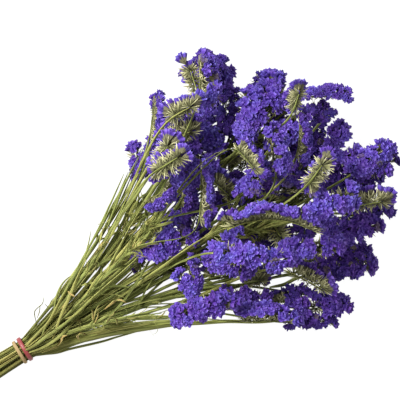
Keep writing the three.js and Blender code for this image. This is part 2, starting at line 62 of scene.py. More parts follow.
camera_data = bpy.data.cameras.new("camera")
camera = bpy.data.objects.new("camera", camera_data)
bpy.context.scene.collection.objects.link(camera)
camera.location = (*camera_over, camera_height)
camera.rotation_euler = (0, 0, camera_roll)
camera_data.lens = camera_data.sensor_width * (camera_height - picture_at) / picture_width
camera_data.clip_end = 20
bpy.context.scene.camera = camera

# ---- Floor and light ----
# The floor is a plain sheet of opal acrylic, lit from below. A broad soft light stands over the
# bunch's upper left, a weak one fills from the other side, and the rest is even light all round.
floor_half = 3
floor_drop = 0.0004
floor_white = (0.1, 0.1, 0.1, 1)
floor_glow = 0.97
world_light = 0.4
lamps = (
    ("key_light", (-0.55, 0.95, 1.3), 0.7, 46),
    ("fill_light", (1.1, -0.9, 1.3), 1.4, 3),
)

bpy.ops.object.select_all(action="DESELECT")
bpy.ops.mesh.primitive_plane_add(size=2 * floor_half, location=(0, 0, -floor_drop))
floor = bpy.context.object
floor.name = "floor"
floor_finish = bpy.data.materials.new("opal_floor")
floor_finish.use_nodes = True
floor_shader = floor_finish.node_tree.nodes["Principled BSDF"]
floor_shader.inputs["Base Color"].default_value = floor_white
floor_shader.inputs["Roughness"].default_value = 0.95
floor_shader.inputs["Emission Color"].default_value = (1, 1, 1, 1)
floor_shader.inputs["Emission Strength"].default_value = floor_glow
floor.data.materials.append(floor_finish)

for name, place, size, power in lamps:
    lamp_data = bpy.data.lights.new(name, "AREA")
    lamp_data.size = size
    lamp_data.energy = power
    lamp = bpy.data.objects.new(name, lamp_data)
    lamp.location = place
    lamp.rotation_euler = (-Vector(place)).to_track_quat("-Z", "Y").to_euler()
    bpy.context.scene.collection.objects.link(lamp)

surroundings = bpy.data.worlds.new("even_light")
surroundings.use_nodes = True
surroundings.node_tree.nodes["Background"].inputs["Strength"].default_value = world_light
surroundings.node_tree.nodes["Background"].inputs["Color"].default_value = (1, 1, 1, 1)
bpy.context.scene.world = surroundings
bpy.context.scene.view_settings.view_transform = "Standard"

# ---- How the stalks lie ----
# Fifteen cut stalks pass side by side through the tie, fork on their way and end in 43 heads. They
# lie as the solids do: laid along curves, then pushed apart in many small rounds.
# Millimetres from the tie's place on the surface.
tie_on_surface = np.array([0.0, -6.0, 13.0])
slot_pitch = 4.4  # between neighbouring stalks in the tie
slot_row = slot_pitch * math.sqrt(3) / 2
stalk_slots = (
    (2, 0), (1.5, -1), (1.5, 1), (0.5, 2), (1, 0), (0.5, -1), (0.5, 1), (0, 0),
    (-0.5, 2), (-0.5, 1), (-0.5, -1), (-1.5, 1), (-1, 0), (-1.5, -1), (-2, 0),
)
# Each head's stalk, the foot of its rachis, and its arms: the yaw of an arm's chord, the roll of its
# flowers from straight up towards its left, its length, how far it bends back, and its size.
heads = (
    (1, (210, 102, 44), [(47, -90, 28, 8, 0.8)]),
    (1, (185, 81, 14), [(30, -10, 34, 8, 0.95), (74, 0, 12, 10, 0.85)]),
    (2, (262, 104, 74), [(57, -78, 28, 10, 1.15), (76, 165, 26, 10, 1)]),
    (2, (260, 90, 8), [(52, 0, 24, 8, 1.1), (34, 0, 40, 8, 1)]),
    (2, (216, 46, 56), [(48, 0, 28, 8, 0.8), (6, 0, 20, 8, 1)]),
    (3, (203, 78, 102), [(28, 178, 18, 10, 1)]),
    (3, (239, 105, 92), [(-2, 150, 18, 15, 1)]),
    (3, (250, 92, 34), [(-70, 5, 24, 8, 1.15)]),
    (4, (199, 72, 124), [(0, 178, 22, 10, 1.05)]),
    (4, (223, 88, 76), [(-7, 140, 22, 10, 1.1)]),
    (5, (291, 58, 46), [(48, -4, 28, 8, 1.15), (14, 0, 34, 8, 1.15)]),
    (5, (316, 72, 26), [(34, 10, 20, 10, 1.15)]),
    (5, (237, 32, 62), [(-72, 130, 18, 10, 1)]),
    (6, (339, 56, 70), [(40, 150, 12, 10, 0.9)]),
    (6, (352, 58, 44), [(-30, 25, 36, 10, 0.7)]),
    (7, (182, 52, 88), [(8, -90, 16, 60, 0.95)]),
    (7, (196, 31, 52), [(60, -60, 18, 8, 0.85)]),
    (8, (309, 38, 36), [(13, 0, 22, 8, 1.1)]),
    (8, (292, 16, 84), [(68, -40, 26, 10, 1.05)]),
    (8, (318, 9, 72), [(52, -75, 32, 20, 0.85)]),
    (9, (275, 46, 96), [(-80, 120, 22, 10, 0.95)]),
    (9, (263, 9, 64), [(26, 0, 16, 8, 1.1)]),
    (9, (203, 11, 80), [(56, -90, 40, 10, 0.9)]),
    (10, (157, 9, 50), [(30, 5, 24, 8, 1.15), (-4, -5, 26, 8, 1.1)]),
    (10, (170, -37, 62), [(63, -70, 24, 10, 0.75), (96, -10, 12, 10, 0.8)]),
    (11, (278, -3, 46), [(-30, 45, 36, 20, 1.1)]),
    (11, (313, -12, 86), [(22, 195, 20, 10, 1.05)]),
    (11, (344, -8, 20), [(44, 0, 22, 8, 1.05), (-22, 10, 18, 8, 1)]),
    (12, (193, -25, 56), [(-44, 0, 22, 8, 1.1), (28, 5, 24, 8, 1.05)]),
    (12, (231, -12, 100), [(-34, 90, 76, 50, 1.05)]),
    (12, (264, -27, 34), [(-92, 172, 14, 10, 1.1)]),
    (13, (209, -28, 84), [(-38, 0, 52, 12, 1.15)]),
    (13, (306, -41, 60), [(-7, 0, 28, 8, 1.15)]),
    (13, (334, -54, 66), [(-22, 142, 31, 8, 1.05)]),
    (13, (363, -29, 36), [(8, 10, 24, 12, 1.05), (-30, 0, 14, 10, 0.95)]),
    (14, (144, -49, 46), [(-15, 0, 40, 8, 1.15)]),
    (14, (193, -67, 3), [(-37, 0, 28, 8, 1.1)]),
    (14, (265, -64, 56), [(-20, 8, 36, 10, 1.15)]),
    (14, (309, -72, 20), [(-14, 0, 30, 8, 1.2)]),
    (15, (192, -91, 42), [(-32, 75, 38, 8, 1.05)]),
    (15, (237, -108, 6), [(-24, 5, 34, 8, 1.15)]),
    (15, (255, -78, 42), [(-59, 125, 32, 8, 1)]),
    (15, (285, -92, 1), [(-24, -5, 30, 8, 1.2)]),
)

lean_foot = -8 * DEG  # an arm's first flowers lean back a little, and the last lean forward
lean_tip = 62 * DEG


class Arm:
    """One arm: its rachis, and the rays from it along which its bracts and flowers stand."""

    def __init__(self, foot, shape):
        yaw, roll, self.length, turn, self.size = shape
        self.foot = np.asarray(foot, float)
        self.chord = np.array([math.cos(yaw * DEG), math.sin(yaw * DEG), 0])
        left = np.array([-self.chord[1], self.chord[0], 0])
        up = np.array([0, 0, 1])
        self.face = math.cos(roll * DEG) * up + math.sin(roll * DEG) * left
        self.side = np.cross(self.chord, self.face)
        self.bend = turn * DEG

    def at(self, u):
        """The rachis's point, its tangent and its ray, from 0 at the foot to 1 at the tip."""
        angle = self.bend * (0.5 - u)
        along = self.length * (math.sin(self.bend / 2) - math.sin(angle)) / self.bend
        out = self.length * (math.cos(angle) - math.cos(self.bend / 2)) / self.bend
        tangent = self.chord * math.cos(angle) + self.face * math.sin(angle)
        normal = self.face * math.cos(angle) - self.chord * math.sin(angle)
        lean = lean_foot + (lean_tip - lean_foot) * u * u
        ray = normal * math.cos(lean) + tangent * math.sin(lean)
        return self.foot + self.chord * along + self.face * out, tangent, ray

    def length_at(self, reach):
        """How long a row is that stands this far out from the rachis."""
        return self.length + reach * self.size * (self.bend + lean_tip - lean_foot)


bead_step = 8
leaving_tie = np.array([1, 0.4, 0.4])  # flattens a trunk's way towards its head
trunk_handle = 105
branch_handle = 34
arrive_handle = 30
handle_share = 0.42
first_fork = 48
fork_stagger = 9
fork_before = 42
fork_slope = 1.4


def whole(v):
    """The nearest whole number, with halves rounded up."""
    return math.floor(v + 0.5)


def unit(v):
    """v at length 1."""
    return v / np.linalg.norm(v)


def curve_points(a, way_a, b, way_b, handle):
    """Points along a curve from a to b that leaves along way_a and arrives along way_b."""
    span = np.linalg.norm(b - a)
    leaving = min(span * handle_share, handle)
    arriving = min(span * handle_share, arrive_handle)
    steps = max(3, whole(span / bead_step))
    t = np.linspace(0, 1, steps + 1)[:, None]
    near, far = a + way_a * leaving, b - way_b * arriving
    s = 1 - t
    return s**3 * a + 3 * s * s * t * near + 3 * s * t * t * far + t**3 * b


class Stem:
    """One run of stem: a trunk from the tie, or a branch from a fork, to the head that it leads to."""

    def __init__(self, stalk, head, points, trunk=None, fork=0):
        self.stalk, self.head, self.points = stalk, head, points
        self.trunk, self.fork = trunk, fork


def slot_point(slot):
    """Where a stalk passes the middle of the tie."""
    return tie_on_surface + np.array([0, slot[0] * slot_pitch, slot[1] * slot_row])


def lay_stems(slots, heads):
    """Every stem before it settles. A stalk's trunk leads to its furthest head."""
    stems = []
    for s, slot in enumerate(slots):
        own = [h for h, head in enumerate(heads) if head[0] == s + 1]
        own.sort(key=lambda h: -heads[h][1][0])
        start = slot_point(slot)
        trunk = None
        for h in own:
            foot = np.array(heads[h][1], float)
            arrive = Arm(foot, heads[h][2][0]).chord
            if trunk is None:
                leave = unit((foot - start) * leaving_tie)
                trunk = Stem(s + 1, h, curve_points(start, leave, foot, arrive, trunk_handle))
                stems.append(trunk)
                continue
            beside = trunk.points[np.argmin(np.abs(trunk.points[:, 0] - foot[0]))]
            off = np.linalg.norm((beside - foot)[1:])
            fork_x = max(first_fork + fork_stagger * (s % 4), foot[0] - fork_before - fork_slope * off)
            past = np.flatnonzero(trunk.points[:, 0] > fork_x)
            fork = max(1, past[0] if len(past) else 1)
            at = trunk.points[fork]
            leave = unit(at - trunk.points[fork - 1])
            points = curve_points(at, leave, foot, arrive, branch_handle)
            stems.append(Stem(s + 1, h, points, trunk, fork))
    return stems


settle_rounds = 200
settle_give = np.array([0.3, 0.3, 1.5])  # a bunch gives way upwards before sideways
bead_gap = 0.7
watch_within = 40
own_share = 0.6  # how much of its own move a stem's bead keeps, against its neighbours'
stem_bead, branch_bead, tie_bead = 3.5, 3, 2.1
tied_to, parted_by = 5, 45
head_bead_step = 9
bract_bead = (5.2, 7, 6.1, 6.1)  # reach, radius, how far the form reaches along its ray and across
cup_bead = (14, 10.3, 5.9, 9.7)


def settle(stems):
    """Pushes heads and stems apart. Returns each head's settled foot, and moves the stems' points."""
    rest, radius, low, violet, leads, stalk, group = [], [], [], [], [], [], []

    def bead(*facts):
        for row, fact in zip((rest, radius, low, violet, leads, stalk, group), facts):
            row.append(fact)

    for h, (number, foot, arms) in enumerate(heads):
        for shape in arms:
            arm = Arm(foot, shape)
            steps = math.ceil(arm.length_at(cup_bead[0]) / head_bead_step)
            for i in range(steps + 1):
                point, _, ray = arm.at(i / steps)
                for reach, round_to, high, wide in (bract_bead, cup_bead):
                    sunk = (high * abs(ray[2]) + wide * abs(arm.side[2])) * arm.size
                    place = point + ray * reach * arm.size
                    bead(place, round_to * arm.size, sunk, reach == cup_bead[0], h, number, h)
    groups = len(heads)
    for stem in stems:
        stem.groups = groups + np.arange(len(stem.points))
        groups += len(stem.points)
        for point, g in zip(stem.points, stem.groups):
            parted = min(1, max(0, (point[0] - tied_to) / (parted_by - tied_to)))
            size = branch_bead if stem.trunk else tie_bead + (stem_bead - tie_bead) * parted
            bead(point, size, size, False, stem.head, stem.stalk, g)
    rest, radius, low, group = map(np.array, (rest, radius, low, group))
    violet, leads, stalk = map(np.array, (violet, leads, stalk))

    a, b = np.triu_indices(len(rest), 1)
    may_touch = (stalk[a] == stalk[b]) & ~violet[a] & ~violet[b]
    keep = (leads[a] != leads[b]) & ~may_touch
    a, b = a[keep], b[keep]
    near = radius[a] + radius[b] + bead_gap
    keep = np.linalg.norm(rest[a] - rest[b], axis=1) <= near + watch_within
    a, b, near = a[keep], b[keep], near[keep]

    shift = np.zeros((groups, 3))
    for _ in range(settle_rounds):
        place = rest + shift[group]
        apart = place[a] - place[b]
        distance = np.linalg.norm(apart, axis=1)
        close = distance < near
        push = apart[close] * ((near - distance) / 2 / distance)[close, None]
        total, count = np.zeros((groups, 3)), np.zeros(groups)
        for ends, sign in ((a[close], 1), (b[close], -1)):
            np.add.at(total, group[ends], sign * push)
            np.add.at(count, group[ends], 1)
        sunk = low - place[:, 2]
        below = sunk > 0
        np.add.at(total[:, 2], group[below], sunk[below])
        np.add.at(count, group[below], 1)
        shift += total / np.maximum(count, 1)[:, None] * settle_give
        for stem in stems:
            g = stem.groups
            shift[g[0]] = shift[stem.trunk.groups[stem.fork]] if stem.trunk else 0
            shift[g[-1]] = shift[stem.head]
            before = shift[g].copy()
            beside = (before[:-2] + before[2:]) * (1 - own_share) / 2
            shift[g[1:-1]] = before[1:-1] * own_share + beside
    for stem in stems:
        stem.points = stem.points + shift[stem.groups]
    return [np.array(head[1], float) + shift[h] for h, head in enumerate(heads)]


stems = lay_stems(stalk_slots, heads)
feet = settle(stems)
low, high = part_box("rubber_band")
to_frame = np.array([(low.x + high.x) / 2, (low.y + high.y) / 2, 0]) / MM - tie_on_surface * (1, 1, 0)
pressed_flat = 0.5  # how far the lowest flowers give where they rest on the surface
to_frame[2] = -pressed_flat
for stem in stems:
    stem.points = stem.points + to_frame
arms = [[Arm(foot + to_frame, shape) for shape in heads[h][2]] for h, foot in enumerate(feet)]
tie_middle = tie_on_surface + to_frame


# ---- Stems ----
# Each stalk is one grown piece: a trunk and its branches, ribbed along their length, with two thin
# wings that turn slowly round them and stand wider above each fork. They are dry, stiff and matt,
# pale olive green, yellower on the edges of the wings and browner towards the cut ends, with
# painted shade darkening their grooves.
blade_rings = 36
blade_sides = 8
groove_share = 0.36  # how far a stem's grooves lie from its middle, for its wing's width
ridge_share = 0.5
streaks_apart = (7.3, 211)  # keeps the streaks of stems of other tones from being alike
brown_behind, brown_over = 30, 120  # brown this far behind the tie, and green this much further on


def select_none():
    """Leaves nothing selected."""
    bpy.ops.object.select_all(action="DESELECT")


def pick(test):
    """In edit mode, selects the vertices that pass a test of their place."""
    mesh = bpy.context.object.data
    bpy.ops.object.mode_set(mode="OBJECT")
    for part in (mesh.polygons, mesh.edges, mesh.vertices):
        part.foreach_set("select", [False] * len(part))
    mesh.vertices.foreach_set("select", [bool(test(v.co)) for v in mesh.vertices])
    bpy.ops.object.mode_set(mode="EDIT")
    bpy.ops.mesh.select_mode(type="VERT")


def bearing(co):
    """The direction of a place round the Z axis, in degrees from 0 to 360."""
    return math.degrees(math.atan2(co.y, co.x)) % 360


def near_bearing(co, step, first=0):
    """Whether a place lies on a direction that repeats every step degrees."""
    return abs((bearing(co) - first + step / 2) % step - step / 2) < 1


class Pattern:
    """A modelled shape as arrays, to be copied many times: its points in millimetres and faces."""

    def __init__(self, obj):
        mesh = obj.data
        co = np.empty(len(mesh.vertices) * 3)
        mesh.vertices.foreach_get("co", co)
        self.points = co.reshape(-1, 3) / MM
        self.corners = np.empty(len(mesh.loops), int)
        mesh.loops.foreach_get("vertex_index", self.corners)
        self.sizes = np.empty(len(mesh.polygons), int)
        mesh.polygons.foreach_get("loop_total", self.sizes)
        bpy.data.objects.remove(obj)


class Gathered:
    """Copies of patterns that make up one mesh, with facts about each point."""

    def __init__(self):
        self.points, self.corners, self.sizes, self.facts = [], [], [], {}
        self.count = 0

    def add(self, pattern, points, **facts):
        """One or more copies of a pattern, at points of shape (copies, points, 3)."""
        points = np.asarray(points).reshape(-1, len(pattern.points), 3)
        copies = len(points)
        starts = self.count + len(pattern.points) * np.arange(copies)
        self.points.append(points.reshape(-1, 3))
        self.corners.append((pattern.corners[None] + starts[:, None]).ravel())
        self.sizes.append(np.tile(pattern.sizes, copies))
        self.count += points.shape[0] * points.shape[1]
        for name, fact in facts.items():
            spread = np.broadcast_to(fact, points.shape[:2]) if np.ndim(fact) < 3 else fact
            self.facts.setdefault(name, []).append(np.reshape(spread, (-1,) + np.shape(spread)[2:]))

    def make(self, name, finish, smooth=True):
        """The piece, with the facts as attributes of its points."""
        mesh = bpy.data.meshes.new(name)
        points = np.concatenate(self.points) * MM
        points[:, 2] = np.maximum(points[:, 2], 0)  # what hangs lower is pressed into the surface
        corners = np.concatenate(self.corners)
        sizes = np.concatenate(self.sizes)
        mesh.vertices.add(len(points))
        mesh.vertices.foreach_set("co", points.ravel())
        mesh.loops.add(len(corners))
        mesh.polygons.add(len(sizes))
        mesh.polygons.foreach_set("loop_start", np.cumsum(sizes) - sizes)
        mesh.polygons.foreach_set("vertices", corners)
        mesh.polygons.foreach_set("use_smooth", np.full(len(sizes), smooth))
        for fact, rows in self.facts.items():
            rows = np.concatenate(rows)
            attribute = mesh.attributes.new(fact, "FLOAT", "POINT")
            attribute.data.foreach_set("value", rows.astype(np.float32).ravel())
        mesh.update(calc_edges=True)
        mesh.materials.append(finish)
        piece = bpy.data.objects.new(name, mesh)
        bpy.context.scene.collection.objects.link(piece)
        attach(piece, "root")
        return piece


def extrude(rise, forward=0):
    """In edit mode, extrudes what is selected, this many millimetres along Z and along Y."""
    move = {"value": (0, forward * MM, rise * MM)}
    bpy.ops.mesh.extrude_region_move(TRANSFORM_OT_translate=move)


def finished(obj):
    """The shape in edit mode as a pattern, with its faces turned outwards."""
    bpy.ops.mesh.select_all(action="SELECT")
    bpy.ops.mesh.normals_make_consistent(inside=False)
    bpy.ops.object.mode_set(mode="OBJECT")
    return Pattern(obj)


def model_blade(rings):
    """A straight length of stem, 1 mm from its middle to the edges of its wings and 1 mm long."""
    select_none()
    bpy.ops.mesh.primitive_circle_add(vertices=blade_sides, radius=MM, fill_type="NGON")
    blade = bpy.context.object
    bpy.ops.object.mode_set(mode="EDIT")
    pick(lambda co: near_bearing(co, 90, 45))
    bpy.ops.transform.resize(value=(groove_share / math.sin(45 * DEG), groove_share / 2, 1))
    pick(lambda co: near_bearing(co, 180, 90))
    bpy.ops.transform.resize(value=(1, ridge_share, 1))
    bpy.ops.mesh.select_all(action="SELECT")
    for _ in range(rings):
        extrude(1 / rings)
    return finished(blade)


trunk_blade = model_blade(blade_rings)
branch_blade = model_blade(blade_rings // 2)
leaf_blade = model_blade(blade_rings // 3)


def smooth_path(points, samples):
    """A path through the points, sampled evenly, with its directions and its length so far."""
    fine = 12
    ways = np.gradient(points, axis=0)
    t = np.linspace(0, 1, fine, endpoint=False)[None, :, None]
    a, b = points[:-1, None], points[1:, None]
    way_a, way_b = ways[:-1, None], ways[1:, None]
    path = (
        a * (2 * t**3 - 3 * t**2 + 1)
        + way_a * (t**3 - 2 * t**2 + t)
        + b * (3 * t**2 - 2 * t**3)
        + way_b * (t**3 - t**2)
    )
    path = np.concatenate([path.reshape(-1, 3), points[-1:]])
    so_far = np.concatenate([[0], np.cumsum(np.linalg.norm(np.diff(path, axis=0), axis=1))])
    lengths = np.linspace(0, so_far[-1], samples)
    even = np.stack([np.interp(lengths, so_far, path[:, i]) for i in range(3)], axis=1)
    ways = np.gradient(even, axis=0)
    return even, ways / np.linalg.norm(ways, axis=1)[:, None], lengths


def carry_side(ways, side):
    """A side at every point of a path, carried back from its end without turning."""
    sides = np.empty_like(ways)
    for i in range(len(ways) - 1, -1, -1):
        side = unit(side - ways[i] * (side @ ways[i]))
        sides[i] = side
    return sides


def grow_stem(gathered, blade, path, end_side, width, ridge, twist, tone):
    """Lays a blade along a path. width, ridge and twist are functions of (share, length left)."""
    rings = round(len(blade.points) / blade_sides)
    places, ways, lengths = smooth_path(path, rings)
    sides = carry_side(ways, end_side)
    overs = np.cross(sides, ways)
    ring = np.rint(blade.points[:, 2] * (rings - 1)).astype(int)
    share = lengths / lengths[-1]
    left = lengths[-1] - lengths
    wide, thick, turn = width(share, left), ridge(share, left), twist(share, left)
    turned = sides * np.cos(turn)[:, None] + overs * np.sin(turn)[:, None]
    out = overs * np.cos(turn)[:, None] - sides * np.sin(turn)[:, None]
    x, y = blade.points[:, :1], blade.points[:, 1:2]
    points = places[ring] + turned[ring] * x * wide[ring, None] + out[ring] * y * thick[ring, None]
    gathered.add(
        blade,
        points,
        edge=np.abs(blade.points[:, 0]) ** 2,
        groove=(np.abs(np.abs(blade.points[:, 0]) - groove_share) < 0.1) * 1.0,
        across=blade.points[:, 0] * wide[ring] + streaks_apart[0] * tone,
        along=lengths[ring] + streaks_apart[1] * tone,
        age=np.clip(1 - (places[ring, 0] - tie_middle[0] + brown_behind) / brown_over, 0, 1),
        tone=np.full(len(ring), tone),
    )


tail_length, tail_varies, tail_spread = 48, 6, 0.2
tail_shares = (1, 0.6, 0.25)
tail_turn, wing_turn = 0.618, 0.382  # how far lengths and widths move on from stalk to stalk
narrowest_wing = 0.65  # of the widest trunk's
trunk_wing, tie_wing, branch_wing, head_wing = 3.0, 1.95, 1.8, 1
wings_open = (14, 64)  # along the bunch, where a trunk widens from the tie
trunk_tapers_from = 0.45
twist_per_mm = 0.012
extra_per_stalk = 3  # thinner stems that run along each trunk
side_wander = 3
side_ends = (0.55, 0.95)  # shares of the trunk's length at which they end
side_off, side_strays, side_spreads_over = 1.6, 12, 200
outward_share, side_lowest = 0.25, 1.5  # they stray less towards the outside of the bunch
draw = np.random.default_rng(7)


def trunk_path(stem):
    """A trunk's points after those of its cut end, where the stems spread a little again."""
    tail = tail_length + tail_varies * (2 * (((stem.stalk - 1) * tail_turn) % 1) - 1)
    slot = stem.points[0] - tie_middle
    ends = [tie_middle - (tail * s, 0, 0) + slot * (1 + tail_spread * s * s) for s in tail_shares]
    return np.concatenate([ends, stem.points])


def share_between(low, high, v):
    """How far v has come from low to high, from 0 to 1."""
    return np.clip((v - low) / (high - low), 0, 1)


def grow_trunk(gathered, stem, arm, tone):
    """A trunk from its cut end through the tie to the foot of its furthest head."""
    s = stem.stalk - 1
    path = trunk_path(stem)
    wing_share = narrowest_wing + (1 - narrowest_wing) * ((s * wing_turn) % 1)

    def width(share, left):
        x = share * (path[-1, 0] - path[0, 0]) + path[0, 0] - tie_middle[0]
        full = tie_wing + (trunk_wing * wing_share - tie_wing) * share_between(*wings_open, x)
        return full + (head_wing - full) * share_between(trunk_tapers_from, 1, share)

    grow_stem(
        gathered,
        trunk_blade,
        path,
        arm.side,
        width,
        lambda share, left: np.clip(width(share, left), 1.2, 1.7),
        lambda share, left: (1 if s % 2 else -1) * left * twist_per_mm,
        tone,
    )


def grow_branch(gathered, stem, arm, tone):
    """A branch from its fork to the foot of its head."""

    def width(share, left):
        return (branch_wing + (head_wing - branch_wing) * share) * share_between(-0.9, 0.15, share)

    grow_stem(
        gathered,
        branch_blade,
        stem.points,
        arm.side,
        width,
        lambda share, left: np.full_like(share, 1.25),
        lambda share, left: left * twist_per_mm,
        tone,
    )


class Finish:
    """A material under way: its shader, and the nodes that feed it."""

    def __init__(self, name, rough, shine):
        self.material = bpy.data.materials.new(name)
        self.material.use_nodes = True
        self.nodes = self.material.node_tree.nodes
        self.shader = self.nodes["Principled BSDF"]
        self.feed(self.shader, {"Roughness": rough, "Specular IOR Level": shine})

    def feed(self, node, inputs):
        """Gives a node's inputs their values, or the outputs that feed them."""
        for name, value in inputs.items():
            if isinstance(value, bpy.types.NodeSocket):
                self.material.node_tree.links.new(value, node.inputs[name])
            else:
                node.inputs[name].default_value = value

    def fact(self, name):
        """What the piece's points say under this name."""
        node = self.nodes.new("ShaderNodeAttribute")
        node.attribute_name = name
        return node.outputs["Fac"]

    def noise(self, scale, detail=2, place=None):
        """Noise over the piece, or over a place of its own."""
        if place is None:
            place = self.nodes.new("ShaderNodeTexCoord").outputs["Object"]
        node = self.nodes.new("ShaderNodeTexNoise")
        self.feed(node, {"Scale": scale, "Detail": detail, "Vector": place})
        return node.outputs["Fac"]

    def ramp(self, amount, first, last, *between):
        """Colours along an amount, each given as its place and its colour."""
        node = self.nodes.new("ShaderNodeValToRGB")
        elements = node.color_ramp.elements
        for element, (at, colour) in zip(elements, (first, last)):
            element.position, element.color = at, colour
        for at, colour in between:
            elements.new(at).color = colour
        self.feed(node, {"Fac": amount})
        return node.outputs["Color"]

    def product(self, a, b):
        """Two amounts, multiplied."""
        node = self.nodes.new("ShaderNodeMath")
        node.operation = "MULTIPLY"
        self.feed(node, {0: a, 1: b})
        return node.outputs[0]

    def mixed(self, amount, a, b, mode="MIX"):
        """Two colours, mixed by an amount."""
        node = self.nodes.new("ShaderNodeMix")
        node.data_type = "RGBA"
        node.blend_type = mode
        self.feed(node, {"Factor": amount, "A": a, "B": b})
        return node.outputs["Result"]

    def made(self, colour, height=None, strength=0, distance=0):
        """The material, with its colour and, where a height is given, its bumps."""
        self.feed(self.shader, {"Base Color": colour})
        if height:
            bump = self.nodes.new("ShaderNodeBump")
            self.feed(bump, {"Strength": strength, "Distance": distance, "Height": height})
            self.feed(self.shader, {"Normal": bump.outputs["Normal"]})
        return self.material


def stem_finish():
    """Dry ribbed stem: lengthwise streaks of olive and straw, painted shade in the grooves, yellower wing
    edges, browner with age.
    """
    wood = Finish("dried_winged_stem", 0.72, 0.15)
    place = wood.nodes.new("ShaderNodeCombineXYZ")
    wood.feed(place, {"X": wood.fact("across"), "Y": wood.product(wood.fact("along"), 0.07)})
    streaks = wood.noise(0.7, 4, place.outputs[0])
    greens = wood.ramp(streaks, (0.4, (0.075, 0.08, 0.01, 1)), (0.57, (0.39, 0.4, 0.12, 1)))
    # Painted shade: the grooves between the ridge and the wings are darkened.
    painted_groove_shade = wood.product(wood.fact("groove"), 0.8)
    shaded = wood.mixed(painted_groove_shade, greens, (0.03, 0.033, 0.006, 1))
    straw = wood.mixed(wood.fact("edge"), shaded, (0.45, 0.44, 0.16, 1))
    browned = wood.product(wood.fact("age"), wood.noise(60))
    brown = wood.mixed(browned, straw, (0.23, 0.17, 0.06, 1))
    dull, bright = (0, (0.42, 0.5, 0.4, 1)), (1, (1.5, 1.42, 1.3, 1))
    tint = wood.ramp(wood.fact("tone"), dull, bright, (0.5, (0.95, 1.06, 0.9, 1)))
    return wood.made(wood.mixed(1.0, brown, tint, "MULTIPLY"), streaks, 0.5, 0.0004)


dried_stem = stem_finish()


def side_runs(stem):
    """Thinner stems that leave the tie with a trunk and run on beside it, further and further off."""
    path = trunk_path(stem)
    for i in range(extra_per_stalk):
        round_by = 2 * math.pi * (i + draw.uniform(0, 0.8)) / extra_per_stalk
        ends = draw.uniform(*side_ends)
        last = max(6, round(len(path) * ends))
        run = path[:last]
        share = np.linspace(0, 1, last)
        past_tie = np.clip((run[:, 0] - tie_middle[0]) / side_spreads_over, 0, 1)
        off = side_off + side_strays * past_tie**0.8 * draw.uniform(0.4, 1.4)
        way = np.array([0, math.cos(round_by), -abs(math.sin(round_by))])
        outward = (run[:, 1] - tie_middle[1]) * way[1] > 0
        shifted = run + (off * np.where(outward, outward_share, 1))[:, None] * way
        wander = side_wander * past_tie * np.sin(share * draw.uniform(6, 12) + draw.uniform(0, 6))
        shifted[:, 1] += wander
        shifted[:, 2] = np.maximum(shifted[:, 2], side_lowest)
        yield shifted, share


leaflet_long, leaflet_half, leaflet_spread = 13, 1.3, 5


def grow_leaflets(gathered, stem, tone):
    """The two pointed leaflets at the fork that a branch leaves from."""
    start = stem.points[0]
    way = unit(stem.points[1] - start)
    across = unit(np.cross(way, (0, 0, 1)))
    share = np.linspace(0, 1, 6)[:, None]
    for sign in (-1, 1):
        long = leaflet_long * draw.uniform(0.7, 1.3)
        spread = across * sign * leaflet_spread + np.array([0, 0, 2])
        grow_stem(
            gathered,
            leaf_blade,
            start + way * long * share + spread * share**2,
            across,
            lambda share, left: leaflet_half * np.sin(math.pi * (0.12 + 0.85 * share)),
            lambda share, left: np.full_like(share, 0.4),
            lambda share, left: 0.02 * left * sign,
            tone,
        )


rachis_radius = 0.95


def grow_rachis(gathered, arm, tone):
    """The rachis of one arm, from a little way down its stem to its tip."""
    grow_stem(
        gathered,
        branch_blade,
        np.array([arm.at(u)[0] for u in np.linspace(-0.08, 1, 9)]),
        arm.side,
        lambda share, left: rachis_radius * arm.size * (1 - 0.5 * share),
        lambda share, left: rachis_radius * arm.size * (1.4 - 0.7 * share),
        lambda share, left: 0 * share,
        tone,
    )


for number in range(1, len(stalk_slots) + 1):
    gathered = Gathered()
    for stem in (stem for stem in stems if stem.stalk == number):
        tone = draw.uniform(0.25, 0.8)
        arm = arms[stem.head][0]
        (grow_branch if stem.trunk else grow_trunk)(gathered, stem, arm, tone)
        for arm in arms[stem.head]:
            grow_rachis(gathered, arm, tone)
        if stem.trunk:
            grow_leaflets(gathered, stem, min(1, tone + 0.2))
        else:
            for run, share in side_runs(stem):
                side_size = draw.uniform(0.7, 1.3)
                grow_stem(
                    gathered,
                    trunk_blade,
                    run,
                    arm.side,
                    lambda share, left: (0.8 + 1.1 * np.sin(share * math.pi)) * side_size,
                    lambda share, left: 0.8 - 0.3 * share,
                    lambda share, left: left * twist_per_mm,
                    draw.uniform(0, 1),
                )
    piece = gathered.make(f"stems_{number:02d}", dried_stem)
    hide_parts(f"stalk_{number:02d}")

# ---- Bracts ----
# Two rows of stiff pointed bracts stand along each rachis and hold the calyces. They are folded
# along a keel, green at the foot and straw-coloured at the tip, and crowd like an ear of barley.
# Painted shade darkens their feet almost to black, and some whole bracts are painted dark as shade.
bract_length, bract_foot = 11.6, 0.4
bract_steps = ((3.4, 1.5, 0.3), (4.4, 0.95, 0.5), (3.8, 0.3, 0.1))  # rise, widening, bend
spikelet_pitch = 5.6
# The bracts of one spikelet: degrees along the rachis, degrees outwards, and size.
spikelet_bracts = (
    (-56, 46, 0.85), (-42, 64, 0.85), (-30, 36, 1.0), (-20, 56, 0.95), (-8, 66, 0.9),
    (2, 32, 1.05), (12, 58, 0.95), (24, 66, 0.9), (34, 44, 1.05), (50, 56, 0.85),
)
lit_share = 0.65  # of the bracts are painted pale as if lit, and the others dark as painted shade
lit_tone, tone_varies = 0.55, 0.45
fan_varies, splay_varies, side_varies = 13, 11, 0.7  # degrees, degrees and a share
bract_sizes = (0.68, 1.15)
gape_level, gape_turned = 0.92, 0.18
bract_lift, bract_off = 0.4, 0.7  # of a bract's foot, out from the rachis and to its side


